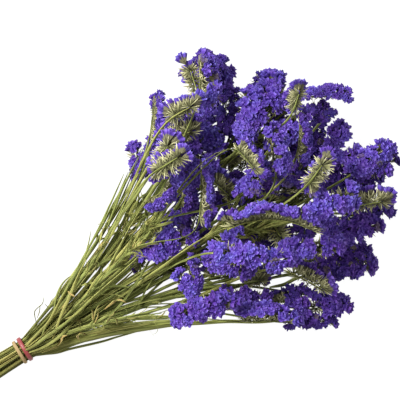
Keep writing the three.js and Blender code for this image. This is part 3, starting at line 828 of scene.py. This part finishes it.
def model_bract():
    """One bract, standing on its foot along Z and bent a little towards +Y."""
    select_none()
    bpy.ops.mesh.primitive_circle_add(vertices=3, radius=bract_foot * MM, fill_type="NGON")
    bract = bpy.context.object
    bpy.ops.object.mode_set(mode="EDIT")
    bpy.ops.transform.resize(value=(1, 0.7, 1))
    for rise, widen, forward in bract_steps:
        extrude(rise, forward)
        bpy.ops.transform.resize(value=(widen, widen, 1))
    return finished(bract)


bract = model_bract()


def stand(pattern, foot, up, side, size=(1, 1, 1)):
    """A pattern's points with its Z along up and its X near side, its foot at foot."""
    up = unit(up)
    x = unit(side - up * (side @ up))
    y = np.cross(up, x)
    return foot + pattern.points * size @ np.array([x, y, up])


def bract_finish():
    """Pale olive, rough and papery, paler and yellower to the tip, and darkened at the foot by painted
    shade.
    """
    husk = Finish("olive_bract", 0.8, 0.25)
    # From foot to tip: near black as painted shade where the bracts crowd on the rachis, then their own
    # olive and pale straw.
    foot, tip = (0, (0.03, 0.031, 0.013, 1)), (1, (0.72, 0.68, 0.42, 1))
    own = husk.ramp(husk.fact("tip"), foot, tip, (0.5, (0.26, 0.26, 0.125, 1)))
    # This ramp carries painted light and shade: bracts drawn as lit take its light end, the others its dark
    # end.
    dark, pale = (0, (0.22, 0.22, 0.2, 1)), (1, (1.45, 1.45, 1.38, 1))
    tint = husk.ramp(husk.fact("tone"), dark, pale, (0.5, (0.55, 0.54, 0.47, 1)))
    return husk.made(husk.mixed(1.0, own, tint, "MULTIPLY"))


olive_bract = bract_finish()


def comb_arm(gathered, arm, tones=(0.2, 1), every=1):
    """Both rows of bracts along one arm. They gape wider on an arm that hangs over."""
    k = arm.size
    gape = gape_level - gape_turned * arm.face[2]
    rows = max(4, whole(arm.length_at(6) / spikelet_pitch / k))
    for i in range(rows + 1):
        for sign in (-1, 1):
            u = min(1, (i + (0.5 if sign > 0 else 0)) / rows)
            point, tangent, ray = arm.at(u)
            foot = point + ray * bract_lift * k + arm.side * sign * bract_off * k
            for fan, splay, size in spikelet_bracts[::every]:
                turn = (fan + draw.normal(0, fan_varies)) * DEG
                out = (splay * gape + draw.normal(0, splay_varies)) * DEG
                up = ray * math.cos(out) + arm.side * sign * math.sin(out)
                up = up * math.cos(turn) + tangent * math.sin(turn)
                size = k * size * draw.uniform(*bract_sizes)
                side = tangent + arm.side * draw.normal(0, side_varies)
                points = stand(bract, foot, up, side, size)
                share = bract.points[:, 2] / bract_length
                # Painted light and shade: most bracts get a lit tone, the rest a shaded one.
                lit = lit_tone if draw.random() < lit_share else 0
                tone = tones[0] + (tones[1] - tones[0]) * (lit + draw.uniform(0, tone_varies))
                gathered.add(bract, points, tip=share, tone=np.full(len(points), tone))


for number in range(1, len(stalk_slots) + 1):
    gathered = Gathered()
    for head, own in enumerate(arms):
        if heads[head][0] == number:
            for arm in own:
                comb_arm(gathered, arm)
    piece = gathered.make(f"bracts_{number:02d}", olive_bract, smooth=False)
    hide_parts(f"stalk_{number:02d}")

# ---- Calyces ----
# What looks like the flower is the dry calyx: a thin papery funnel with five ruffled lobes, deep
# violet, darkened down the funnel and in the folds by painted shade and lighter along its rim by a
# painted highlight. They stand crowded in rows on the bracts and lean every way.
calyx_sides = 15  # three to a lobe
simple_sides = 10  # of the calyces that lie low and hardly show
calyx_height = 9.6
calyx_rim = 4.3
calyx_widens = 6.1  # from its foot to its rim
calyx_lips = ((0.6, -0.6), (0.35, -0.4))  # the crumpled inside, narrower and lower twice
calyx_flat = (0.5, 0.9, 0.68)  # how far the kinds are pressed, some into fans
calyx_kinds = 9
notch_narrows, notch_depth = 0.78, 1.6  # between two lobes
ruffled_part, ruffle = 2.1, 1.1  # how far down from the rim, and how much
pressed_part, limb_spreads = 4, 1.15


def model_calyx(kind, sides, lips):
    """One calyx, standing on its foot along Z, ruffled by a draw of its own."""
    select_none()
    foot = calyx_rim / calyx_widens * MM
    bpy.ops.mesh.primitive_circle_add(vertices=sides, radius=foot, fill_type="NGON")
    calyx = bpy.context.object
    bpy.ops.object.mode_set(mode="EDIT")
    extrude(calyx_height)
    bpy.ops.transform.resize(value=(calyx_widens, calyx_widens, 1))
    for narrow, drop in lips:
        extrude(drop)
        bpy.ops.transform.resize(value=(narrow, narrow, 1))
    rim = (calyx_height - 0.1) * MM
    pick(lambda co: co.z > rim and near_bearing(co, 72, 18))
    bpy.ops.transform.resize(value=(notch_narrows, notch_narrows, 1))
    bpy.ops.transform.translate(value=(0, 0, -notch_depth * MM))
    pick(lambda co: co.z > rim - ruffled_part * MM)
    bpy.ops.transform.vertex_random(offset=ruffle * MM, seed=kind)
    pick(lambda co: co.z > rim - pressed_part * MM)
    bpy.ops.transform.resize(value=(limb_spreads, limb_spreads * calyx_flat[kind % 3], 1))
    return finished(calyx)


calyces = [model_calyx(kind, calyx_sides, calyx_lips) for kind in range(calyx_kinds)]
simple_calyces = [model_calyx(kind, simple_sides, calyx_lips[:1]) for kind in range(calyx_kinds)]


def calyx_finish():
    """Papery violet, with painted shade down the funnel and in the folds and a painted highlight on the
    rim, crinkled finely all over.
    """
    paper = Finish("violet_calyx_paper", 0.7, 0.3)
    # Painted shade and highlight: near black violet in the folds and down the funnel, bright on the rim.
    fold_shade, crest = (0.15, (0.028, 0.012, 0.18, 1)), (0.88, (0.32, 0.275, 0.82, 1))
    colour = paper.ramp(paper.fact("crest"), fold_shade, crest, (0.5, (0.115, 0.06, 0.44, 1)))
    # This ramp carries painted shade and light as well as each cluster's own random tone.
    deep, light = (0, (0.24, 0.26, 0.4, 1)), (1, (1.1, 1.22, 1.12, 1))
    usual = (0.3, (0.78, 0.54, 0.72, 1)), (0.65, (0.93, 0.86, 0.94, 1))
    tint = paper.ramp(paper.fact("tone"), deep, light, *usual)
    crinkle = paper.noise(420, 3)
    # The crinkles darken their hollows and lighten their ridges: partly painted shade and highlight, partly
    # the paper's own uneven colour.
    crinkle_shade_and_tone = paper.ramp(crinkle, (0.36, (0.6, 0.56, 0.66, 1)), (0.66, (1.3, 1.34, 1.2, 1)))
    redder, bluer = (0.36, (1.02, 0.8, 0.94, 1)), (0.64, (0.95, 1.1, 1.03, 1))
    hues = paper.ramp(paper.noise(75), redder, bluer)
    for layer in (tint, crinkle_shade_and_tone, hues):
        colour = paper.mixed(1.0, colour, layer, "MULTIPLY")
    # The calyx's foot is its own olive, darkened as painted shade between the crowded calyces; a few faded
    # calyces turn brown.
    for name, first, last, own in (
        ("tube", 0.4, 0.55, (0.15, 0.14, 0.075, 1)),
        ("faded", 0.0, 1.0, (0.15, 0.12, 0.05, 1)),
    ):
        amount = paper.nodes.new("ShaderNodeMapRange")
        paper.feed(amount, {"From Min": first, "From Max": last, "Value": paper.fact(name)})
        colour = paper.mixed(amount.outputs["Result"], colour, own)
    return paper.made(colour, crinkle, 0.6, 0.0005)


violet_paper = calyx_finish()
cluster_pitch = 10.6
cluster_calyces = 5  # one in the middle and the others round it
cluster_lean = 19  # degrees, away from the other row
calyx_foot = 6.9
# On an arm that lies on its side, the upper row leans out over the bracts: degrees more of lean,
# and millimetres lower and further out. side_fades says how fast that ends as the arm turns.
upper_lean, upper_lower, upper_over, side_fades = 20, 2.2, 3, 1.6
row_off = 2.2
foot_varies = (-2.2, 1.6)
tilt_varies = 11
crest_rise = 3.6  # from the bottom of the notch between lobes to the highest point of the rim, over which the painted shade gives way to the painted highlight
faded_share = 0.02
fallen_share = 0.07  # of the clusters are missing, and leave the bracts bare
shaded_below = 55  # flowers lower in the bunch than this get painted shade, darker the lower they lie
# Along one way across the bunch, measured from the tie, painted light makes them lighter between
# the first two distances, and painted shade makes them darker between the other two.
light_and_shade_way = np.array([0.53, 0.85, 0])
painted_light_from, painted_light_full_at, painted_shade_from, painted_shade_full_at = 60, 200, 70, 0
painted_light_most, painted_shade_by, darkest_painted_shade = 0.85, 0.6, 0.35


def crowd_arm(gathered, arm, kinds, tones=(0.25, 1)):
    """The calyces of one arm: a tight cluster on each spikelet, in two rows that lean apart."""
    k = arm.size
    count = max(2, whole(arm.length_at(14) / cluster_pitch / k))
    low_tone, high_tone = tones
    span = high_tone - low_tone
    arm_tone = low_tone + draw.uniform(0, 0.3) * span
    on_its_side = max(0, 1 - side_fades * abs(arm.face[2]))
    for i in range(count + 1):
        for sign in (-1, 1):
            if draw.random() < fallen_share:
                continue
            upper = on_its_side * (sign * arm.side[2] > 0)
            u = (i + (0.25 if sign > 0 else -0.25) + draw.normal(0, 0.1)) / count
            point, tangent, ray = arm.at(min(1.03, max(-0.03, u)))
            lean = sign * (cluster_lean + upper_lean * upper) + draw.normal(0, tilt_varies)
            lean *= DEG
            onward = draw.normal(0, tilt_varies) * DEG
            middle = ray * math.cos(lean) + arm.side * math.sin(lean) + tangent * math.sin(onward)
            foot_reach = calyx_foot + draw.uniform(*foot_varies) - upper_lower * upper
            cluster_foot = point + ray * foot_reach * k
            cluster_foot = cluster_foot + arm.side * sign * (row_off + upper_over * upper) * k
            cluster_tone = arm_tone + draw.uniform(0, 0.4) * span
            # Painted light and shade: clusters low in the bunch and towards one side get darker, those
            # towards the other side lighter.
            way_off = (point - tie_middle) @ light_and_shade_way
            painted_light = painted_light_most * high_tone * share_between(painted_light_from, painted_light_full_at, way_off)
            lit = max(share_between(0, shaded_below, point[2]), painted_light)
            lit *= 1 - painted_shade_by * share_between(painted_shade_from, painted_shade_full_at, way_off)
            cluster_tone *= darkest_painted_shade + (1 - darkest_painted_shade) * lit
            cluster_size = k * draw.uniform(0.8, 1.08)
            for j in range(cluster_calyces):
                turn = 2 * math.pi * (j + draw.uniform(-0.3, 0.3)) / (cluster_calyces - 1)
                off = (arm.side * math.cos(turn) + tangent * math.sin(turn)) * (j > 0)
                up = middle + off * draw.uniform(0.15, 0.65)
                foot = cluster_foot + off * draw.uniform(0.6, 2) * k
                spin = draw.uniform(0, 2 * math.pi)
                side = arm.side * math.cos(spin) + tangent * math.sin(spin)
                pattern = kinds[draw.integers(calyx_kinds)]
                points = stand(pattern, foot, up, side, cluster_size * draw.uniform(0.85, 1.1))
                faded = draw.uniform(0.4, 0.9) if draw.random() < faded_share else 0
                gathered.add(
                    pattern,
                    points,
                    crest=np.clip((pattern.points[:, 2] - calyx_height) / crest_rise + 0.7, 0, 1),
                    tube=(pattern.points[:, 2] < 1) * 1.0,
                    tone=np.full(len(points), cluster_tone + draw.uniform(0, 0.3) * span),
                    faded=np.full(len(points), faded),
                )


letter = {}
for head, own in enumerate(arms):
    number = heads[head][0]
    letter[number] = letter.get(number, -1) + 1
    name = f"{number:02d}{'abcdefgh'[letter[number]]}"
    gathered = Gathered()
    for arm in own:
        crowd_arm(gathered, arm, calyces)
    piece = gathered.make(f"calyces_{name}", violet_paper, smooth=False)
    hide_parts(f"flowers_{name}")

# ---- Stalks underneath ----
# Four more stalks lie low in the bunch. Only parts of their sprays show, in the gaps between the
# others. They are the same kind of stem, bract and calyx, painted darker as shade.
low_slots = ((1.2, 0.5), (0.2, -0.6), (-0.8, 0.5), (-1.4, -0.4))
low_sprays = (
    (1, (273, 70, 14), [(56, 0, 30, 8, 0.9)]),
    (1, (261, 35, 12), [(30, 100, 26, 8, 1)]),
    (1, (228, 119, 30), [(58, 0, 10, 10, 0.7)]),
    (1, (280, 123, 12), [(50, 0, 15, 8, 0.95)]),
    (1, (219, 50, 34), [(50, 160, 30, 10, 0.9)]),
    (1, (194, 17, 14), [(60, 0, 16, 8, 0.8)]),
    (2, (359, 29, 44), [(8, 0, 8, 8, 0.5)]),
    (2, (344, 46, 30), [(-14, 0, 16, 10, 0.7)]),
    (2, (343, 17, 12), [(48, 0, 18, 8, 0.9)]),
    (2, (382, -31, 16), [(-5, 0, 5, 8, 0.6)]),
    (2, (318, 0, 14), [(50, 60, 26, 8, 0.95)]),
    (2, (286, 24, 10), [(48, 110, 18, 8, 0.9)]),
    (3, (332, -27, 10), [(-10, 0, 26, 8, 0.95)]),
    (3, (335, -42, 8), [(-8, 40, 14, 8, 0.9)]),
    (3, (329, -62, 10), [(-22, 0, 17, 8, 1)]),
    (3, (287, 3, 10), [(23, 130, 18, 8, 0.9)]),
    (3, (237, 14, 12), [(30, 0, 18, 8, 0.9)]),
    (3, (234, -31, 8), [(-10, 150, 24, 8, 1)]),
    (3, (270, -51, 12), [(-2, 0, 26, 8, 1)]),
    (3, (137, 3, 30), [(50, 150, 16, 10, 0.75)]),
    (4, (305, -99, 14), [(-20, 30, 15, 8, 0.8)]),
    (4, (275, -94, 10), [(-18, 100, 26, 8, 1)]),
    (4, (248, -98, 8), [(-40, 0, 30, 8, 0.9)]),
    (4, (228, -118, 8), [(-30, 0, 14, 8, 0.7)]),
    (1, (250, 53, 10), [(50, 120, 16, 8, 0.9)]),
    (1, (322, 60, 12), [(30, 110, 16, 8, 0.9)]),
    (2, (302, 52, 12), [(44, 90, 16, 8, 0.8)]),
    (2, (316, 27, 10), [(60, 0, 16, 8, 0.8)]),
    (3, (277, 3, 8), [(-20, 120, 24, 8, 1)]),
    (3, (312, -26, 8), [(-14, 110, 24, 8, 0.9)]),
    (3, (204, -2, 8), [(50, 0, 14, 8, 0.9)]),
    (3, (231, -17, 6), [(10, 140, 26, 8, 1)]),
    (4, (216, -66, 6), [(-20, 150, 10, 8, 0.9)]),
    (3, (256, 0, 8), [(-32, 140, 24, 8, 0.9)]),
    (3, (288, -24, 8), [(-14, 100, 18, 8, 0.9)]),
    (3, (242, -25, 6), [(-22, 150, 14, 8, 0.8)]),
    (4, (271, -79, 6), [(-20, 130, 16, 8, 0.9)]),
    (4, (160, -20, 6), [(0, 140, 22, 8, 0.9)]),
    (1, (314, 54, 10), [(28, 0, 14, 8, 0.9)]),
    (3, (306, -58, 8), [(-27, 0, 14, 8, 0.9)]),
    (1, (293, 24, 8), [(20, 60, 10, 8, 0.8)]),
    (1, (283, 30, 10), [(8, 60, 12, 8, 0.9)]),
    (2, (329, 4, 10), [(38, 0, 14, 8, 0.9)]),
    (2, (311, -5, 10), [(28, 100, 10, 8, 0.9)]),
    (1, (266, 32, 10), [(-2, 120, 12, 8, 0.9)]),
    (4, (188, -43, 8), [(-20, 120, 22, 8, 1)]),
    (3, (236, -37, 10), [(-12, 60, 22, 8, 0.95)]),
    (3, (238, -44, 6), [(4, 0, 22, 8, 0.8)]),
    (4, (309, -86, 8), [(-30, 0, 12, 8, 0.9)]),
    (1, (291, 123, 20), [(20, 0, 9, 8, 0.8)]),
    (2, (385, -36, 16), [(-10, 0, 6, 8, 0.75)]),
    (1, (290, 80, 14), [(56, 0, 14, 8, 0.6)]),
    (1, (376, 54, 30), [(-32, 0, 13, 8, 0.4)]),
    (1, (320, 90, 14), [(30, 0, 8, 8, 0.6)]),
    (4, (250, -130, 8), [(-30, 0, 8, 8, 0.8)]),
    (2, (343, -14, 12), [(-20, 0, 12, 8, 0.8)]),
    (2, (316, -6, 8), [(45, 0, 14, 8, 0.8)]),
    (3, (197, 6, 8), [(40, 60, 14, 8, 0.8)]),
    (4, (292, -100, 8), [(-30, 0, 10, 8, 0.8)]),
    (2, (352, -71, 10), [(-20, 0, 10, 8, 0.8)]),
    (2, (362, -42, 12), [(-18, 0, 12, 8, 0.8)]),
    (4, (229, -97, 8), [(-25, 120, 10, 8, 0.8)]),
    (1, (236, 54, 16), [(47, 60, 22, 8, 0.9)]),
    (1, (277, 128, 14), [(49, 0, 10, 8, 0.8)]),
    (1, (211, 105, 40), [(53, -105, 26, 8, 0.7)]),
)
# Painted shade: the low stalks get darker tones than the others.
low_shaded_tones, low_comb_shaded_tones = (0.05, 0.55), (0.15, 0.8)
low_rachis_shaded_tone = 0.2
low_stem_rests = 2.2  # how high the middle of a stem lies on the surface


def cleared(foot, shape):
    """The foot of a spray's rachis, raised as far as its flowers need to clear the surface."""
    spray = Arm(foot, shape)
    reach, _, high, wide = cup_bead
    lowest = 0
    for u in np.linspace(0, 1, 5):
        point, _, ray = spray.at(u)
        sunk = high * abs(ray[2]) + wide * abs(spray.side[2])
        lowest = min(lowest, point[2] + (reach * ray[2] - sunk) * spray.size)
    return np.array(foot, float) - (0, 0, lowest)


low_heads = [(s, cleared(foot, own[0]), own) for s, foot, own in low_sprays]
low_stems = lay_stems(low_slots, low_heads)
for number in range(1, len(low_slots) + 1):
    wood, comb, crowd = Gathered(), Gathered(), Gathered()
    for stem in (stem for stem in low_stems if stem.stalk == number):
        foot, own = low_heads[stem.head][1:]
        stem.points = stem.points + to_frame
        stem.points[:, 2] = np.maximum(stem.points[:, 2], low_stem_rests)
        spray = Arm(foot + to_frame, own[0])
        # Painted shade: a low stem's tone is drawn from the dark end.
        (grow_branch if stem.trunk else grow_trunk)(wood, stem, spray, draw.uniform(0, 0.4))
        grow_rachis(wood, spray, low_rachis_shaded_tone)
        comb_arm(comb, spray, low_comb_shaded_tones, 2 if spray.face[2] > 0.3 else 1)
        crowd_arm(crowd, spray, simple_calyces, low_shaded_tones)
    wood.make(f"low_stems_{number}", dried_stem)
    comb.make(f"low_bracts_{number}", olive_bract, smooth=False)
    crowd.make(f"low_calyces_{number}", violet_paper, smooth=False)

# ---- Bare stems and leaf remains ----
# Dry stems without heads run among the others and along the outside of the bunch, and remains of
# wings and leaves lie over the stems. All grew with the stalks. None of them holds anything.
# Each one's half width, its tone, and the points that it passes.
bare_stems = (
    (1.2, 0.5, ((3, -15, 4), (23, -25, 5), (37, -29, 6), (66, -39, 6), (81, -43, 8), (104, -50, 12))),
    (3.2, 0.5, ((3, -15, 9), (23, -22, 10), (46, -26, 12), (66, -32, 14), (81, -38, 14), (104, -46, 14))),
    (5.2, 0.6, ((3, -12, 16), (42, -22, 24), (56, -27, 27), (82, -36, 28), (130, -58, 20), (157, -74, 12))),
    (1.9, 0.6, ((120, -54, 12), (152, -72, 9), (178, -86, 6), (202, -102, 5), (221, -113, 5))),
    (2.0, 0.5, ((70, 18, 36), (105, 32, 40), (126, 43, 44), (149, 55, 46), (173, 65, 48), (194, 73, 50))),
    (1.8, 0.6, ((98, 22, 38), (132, 35, 42), (157, 47, 46), (177, 57, 48), (194, 63, 50))),
    (1.4, 0.6, ((60, -2, 14), (87, -5, 16), (106, -6, 16), (124, -6, 16), (142, -8, 14))),
    (1.6, 0.5, ((100, -18, 14), (129, -25, 14), (146, -27, 14), (159, -29, 12), (178, -34, 10))),
    (1.3, 0.7, ((104, 22, 28), (127, 25, 30), (145, 30, 32), (164, 35, 34), (180, 40, 34))),
    (1.3, 0.6, ((115, 27, 30), (137, 33, 34), (153, 37, 36), (169, 40, 38))),
    (1.2, 0.4, ((128, 50, 34), (144, 62, 38), (162, 75, 40), (175, 83, 42), (190, 92, 42))),
    (1.3, 0.3, ((105, 45, 28), (122, 53, 32), (131, 58, 34), (143, 65, 36), (158, 74, 38))),
    (1.1, 0.6, ((165, -33, 10), (189, -45, 8), (199, -49, 8), (210, -53, 8), (228, -60, 8))),
    (1.6, 0.4, ((205, -88, 8), (224, -94, 8), (232, -95, 8), (241, -96, 8))),
    (1.8, 0.5, ((230, -80, 20), (243, -85, 20), (254, -86, 20), (267, -89, 20))),
    (1.6, 0.6, ((4, -8, 6), (46, -22, 12), (88, -32, 14), (122, -40, 14), (150, -47, 12))),
    (1.4, 0.1, ((6, 2, 20), (37, 14, 24), (59, 18, 28), (87, 32, 34), (114, 46, 40))),
    (1.3, 0.3, ((56, 18, 28), (93, 35, 34), (127, 52, 40), (154, 71, 44), (174, 85, 46))),
    (1.1, 0.5, ((60, 20, 30), (111, 48, 36), (143, 68, 42), (170, 86, 46))),
    (1.8, 0.5, ((50, -10, 14), (89, -19, 15), (138, -31, 14), (184, -47, 12), (220, -61, 10))),
    (1.5, 0.3, ((45, -12, 12), (82, -21, 12), (125, -33, 12), (172, -48, 10), (208, -62, 10))),
    (1.6, 0.7, ((40, -5, 20), (89, -2, 22), (133, -2, 22), (177, -4, 22))),
    (1.5, 0.7, ((1, -5, 28), (15, -1, 30), (34, 4, 33), (55, 16, 37), (70, 24, 40))),
    (1.7, 0.5, ((-2, -7, 28), (11, -8, 30), (24, -7, 31), (43, -6, 34), (60, -4, 36))),
    (1.6, 0.6, ((2, -11, 27), (18, -14, 29), (37, -13, 30), (59, -6, 34), (76, 0, 38))),
    (1.8, 0.9, ((12, -17, 20), (33, -22, 22), (61, -28, 24), (92, -39, 24), (115, -49, 22))),
    (1.6, 0.8, ((28, -12, 30), (46, 2, 37), (61, 12, 42), (78, 24, 46), (96, 36, 50))),
)
leaf_bits = (
    (1.7, 0.9, ((23, -19, 37), (30, -19, 40), (35, -17, 43), (37, -15, 42), (42, -16, 40))),
    (1.5, 0.8, ((71, -17, 45), (74, -11, 49), (76, -5, 48), (77, -1, 47))),
    (1.4, 0.9, ((85, -14, 47), (94, -13, 52), (102, -13, 53), (107, -20, 49))),
    (1.3, 1.0, ((57, -25, 39), (54, -21, 44), (50, -22, 46), (49, -27, 44), (53, -28, 42))),
    (1.2, 1.0, ((65, 19, 51), (66, 15, 53), (68, 11, 51))),
    (1.3, 0.1, ((93, 28, 57), (101, 33, 59), (112, 39, 59))),
    (1.7, 0.3, ((80, -26, 43), (86, -24, 47), (90, -27, 47), (88, -33, 43))),
    (1.6, 0.2, ((50, -10, 43), (56, -8, 47), (59, -12, 46), (55, -16, 42))),
)
threads = (
    (0.5, 0.4, ((23, 10, 24), (27, 19, 30), (32, 21, 33), (38, 22, 35), (43, 27, 36))),
    (0.42, 0.5, ((26, 13, 25), (31, 17, 30), (35, 22, 33))),
    (0.42, 0.3, ((37, 14, 26), (40, 17, 30), (39, 21, 32))),
    (0.38, 0.5, ((42, 16, 28), (45, 19, 31), (49, 21, 33))),
)


rests_within = 6  # a point rests on stems that pass this near it, seen from above
wing_reach = 3.2  # from the middle of a stem to what lies on its wings
shred_lift, shred_arch = 2.2, (2, 6)
stem_lines = np.concatenate([smooth_path(s.points, 4 * len(s.points))[0] for s in stems + low_stems])


def let_down(rows, shift=to_frame):
    """The rows, shifted, and let down where they would hang over the stems that they lie on."""
    laid = []
    for half, tone, points in rows:
        points = np.array(points, float) + shift
        off = np.linalg.norm(points[:, None, :2] - stem_lines[None, :, :2], axis=2)
        tops = np.where(off < rests_within, stem_lines[:, 2], -1).max(axis=1)
        over = np.flatnonzero(tops > 0)
        if len(over):
            hangs = np.maximum(points[over, 2] - tops[over] - wing_reach, 0)
            points[:, 2] -= np.interp(np.arange(len(points)), over, hangs)
        laid.append((half, tone, points))
    return laid


def near_stem(at):
    """A point of a stem drawn at random, this far from the tie, and the stem's way there."""
    points = stems[draw.integers(len(stems))].points
    i = max(1, np.argmin(np.abs(points[:, 0] - tie_middle[0] - at)))
    return points[i], points[i] - points[i - 1]


def shreds(count, half, turns=2.2, longest=20):
    """Curled shreds of wing or leaf, caught on the stems between the tie and the lowest heads."""
    rows = []
    for _ in range(count):
        at = draw.uniform(6, 90 + 15 * turns)
        tries = [near_stem(at) for _ in range(7)]
        held, way = max(tries, key=lambda found: found[0][2])
        heading = math.atan2(way[1], way[0]) + draw.normal(0, 0.45)
        share = np.linspace(0, 1, 7)
        turning = heading + draw.uniform(-turns, turns) * share**2
        step = draw.uniform(longest / 3, longest) / 6
        x, y = np.cumsum(np.cos(turning) * step), np.cumsum(np.sin(turning) * step)
        rise = shred_lift + draw.uniform(*shred_arch) * np.sin(share * math.pi)
        curl = np.stack([x, y, rise], axis=1)
        width = half * draw.uniform(0.5, 1.2)
        rows.append((width, draw.uniform(0.3, 1), held + curl))
    return rows


def leaf_finish(name, dark, light):
    """Dry leaf or thread: streaked lengthwise between two colours."""
    material = dried_stem.copy()
    material.name = name
    nodes = material.node_tree.nodes
    ramp = [n for n in nodes if n.type == "VALTORGB"][0].color_ramp
    ramp.elements[0].color, ramp.elements[1].color = dark, light
    return material


tan_leaf = leaf_finish("tan_dry_leaf", (0.20, 0.11, 0.035, 1), (0.56, 0.38, 0.16, 1))
grey_thread = leaf_finish("grey_brown_thread", (0.06, 0.05, 0.045, 1), (0.14, 0.12, 0.10, 1))
groups = (
    ("bare_stems", trunk_blade, let_down(bare_stems), dried_stem, 0.25, 0.004),
    ("green_shreds", leaf_blade, let_down(shreds(110, 1.3, 1.0, 44), 0), dried_stem, 0.15, 0.02),
    ("tan_shreds", leaf_blade, let_down(leaf_bits) + shreds(50, 0.75), tan_leaf, 0.15, 0.09),
    ("dry_threads", leaf_blade, let_down(threads), grey_thread, 1.0, 0.0),
    ("curled_fibres", leaf_blade, shreds(150, 0.4, 4.5), dried_stem, 0.8, 0.0),
)
for name, blade, rows, finish, thick, turn in groups:
    gathered = Gathered()
    for half, tone, points in rows:
        grow_stem(
            gathered,
            blade,
            points,
            np.array([0, 1, 0.3]),
            lambda share, left: half * np.sin(math.pi * np.clip(share * 0.94 + 0.05, 0, 1)) ** 0.5,
            lambda share, left: np.full_like(share, half * thick),
            lambda share, left: left * turn,
            tone,
        )
    gathered.make(name, finish)

# ---- Bands ----
# A red elastic band holds the stalks, and a flat strip of tan raffia lies round them just behind it.
# Both are thin loops, wider along the bunch than they are thick, and a little uneven.
band_facts = (
    ("rubber_band", "dull_red_rubber", 2.1, 11.9, 0.0, (0.28, 0.045, 0.045, 1), 0.45),
    ("tan_band", "tan_raffia", 1.7, 11.5, 1.2, (0.36, 0.25, 0.11, 1), 0.8),
)
band_thick, band_uneven, band_shine = 0.8, 0.12, 0.5
for node, finish_name, half, radius, forward, colour, rough in band_facts:
    low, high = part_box(node)
    select_none()
    bpy.ops.mesh.primitive_torus_add(
        major_segments=64,
        minor_segments=10,
        major_radius=radius * MM,
        minor_radius=band_thick * MM,
        rotation=(0, 90 * DEG, 0),
        location=((low.x + high.x) / 2 + forward * MM, (low.y + high.y) / 2, (low.z + high.z) / 2),
    )
    band = bpy.context.object
    band.name = f"fine_{node}"
    bpy.ops.object.transform_apply(location=True, rotation=True, scale=True)
    bpy.ops.object.mode_set(mode="EDIT")
    bpy.ops.mesh.select_all(action="SELECT")
    bpy.ops.transform.resize(value=(half / band_thick, 1, 1))
    bpy.ops.transform.vertex_random(offset=band_uneven * MM, seed=3)
    bpy.ops.object.mode_set(mode="OBJECT")
    bpy.ops.object.shade_smooth()
    surface = Finish(finish_name, rough, band_shine)
    band.data.materials.append(surface.made(colour, surface.noise(900), 0.4, 0.0003))
    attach(band, "root")
    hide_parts(node)
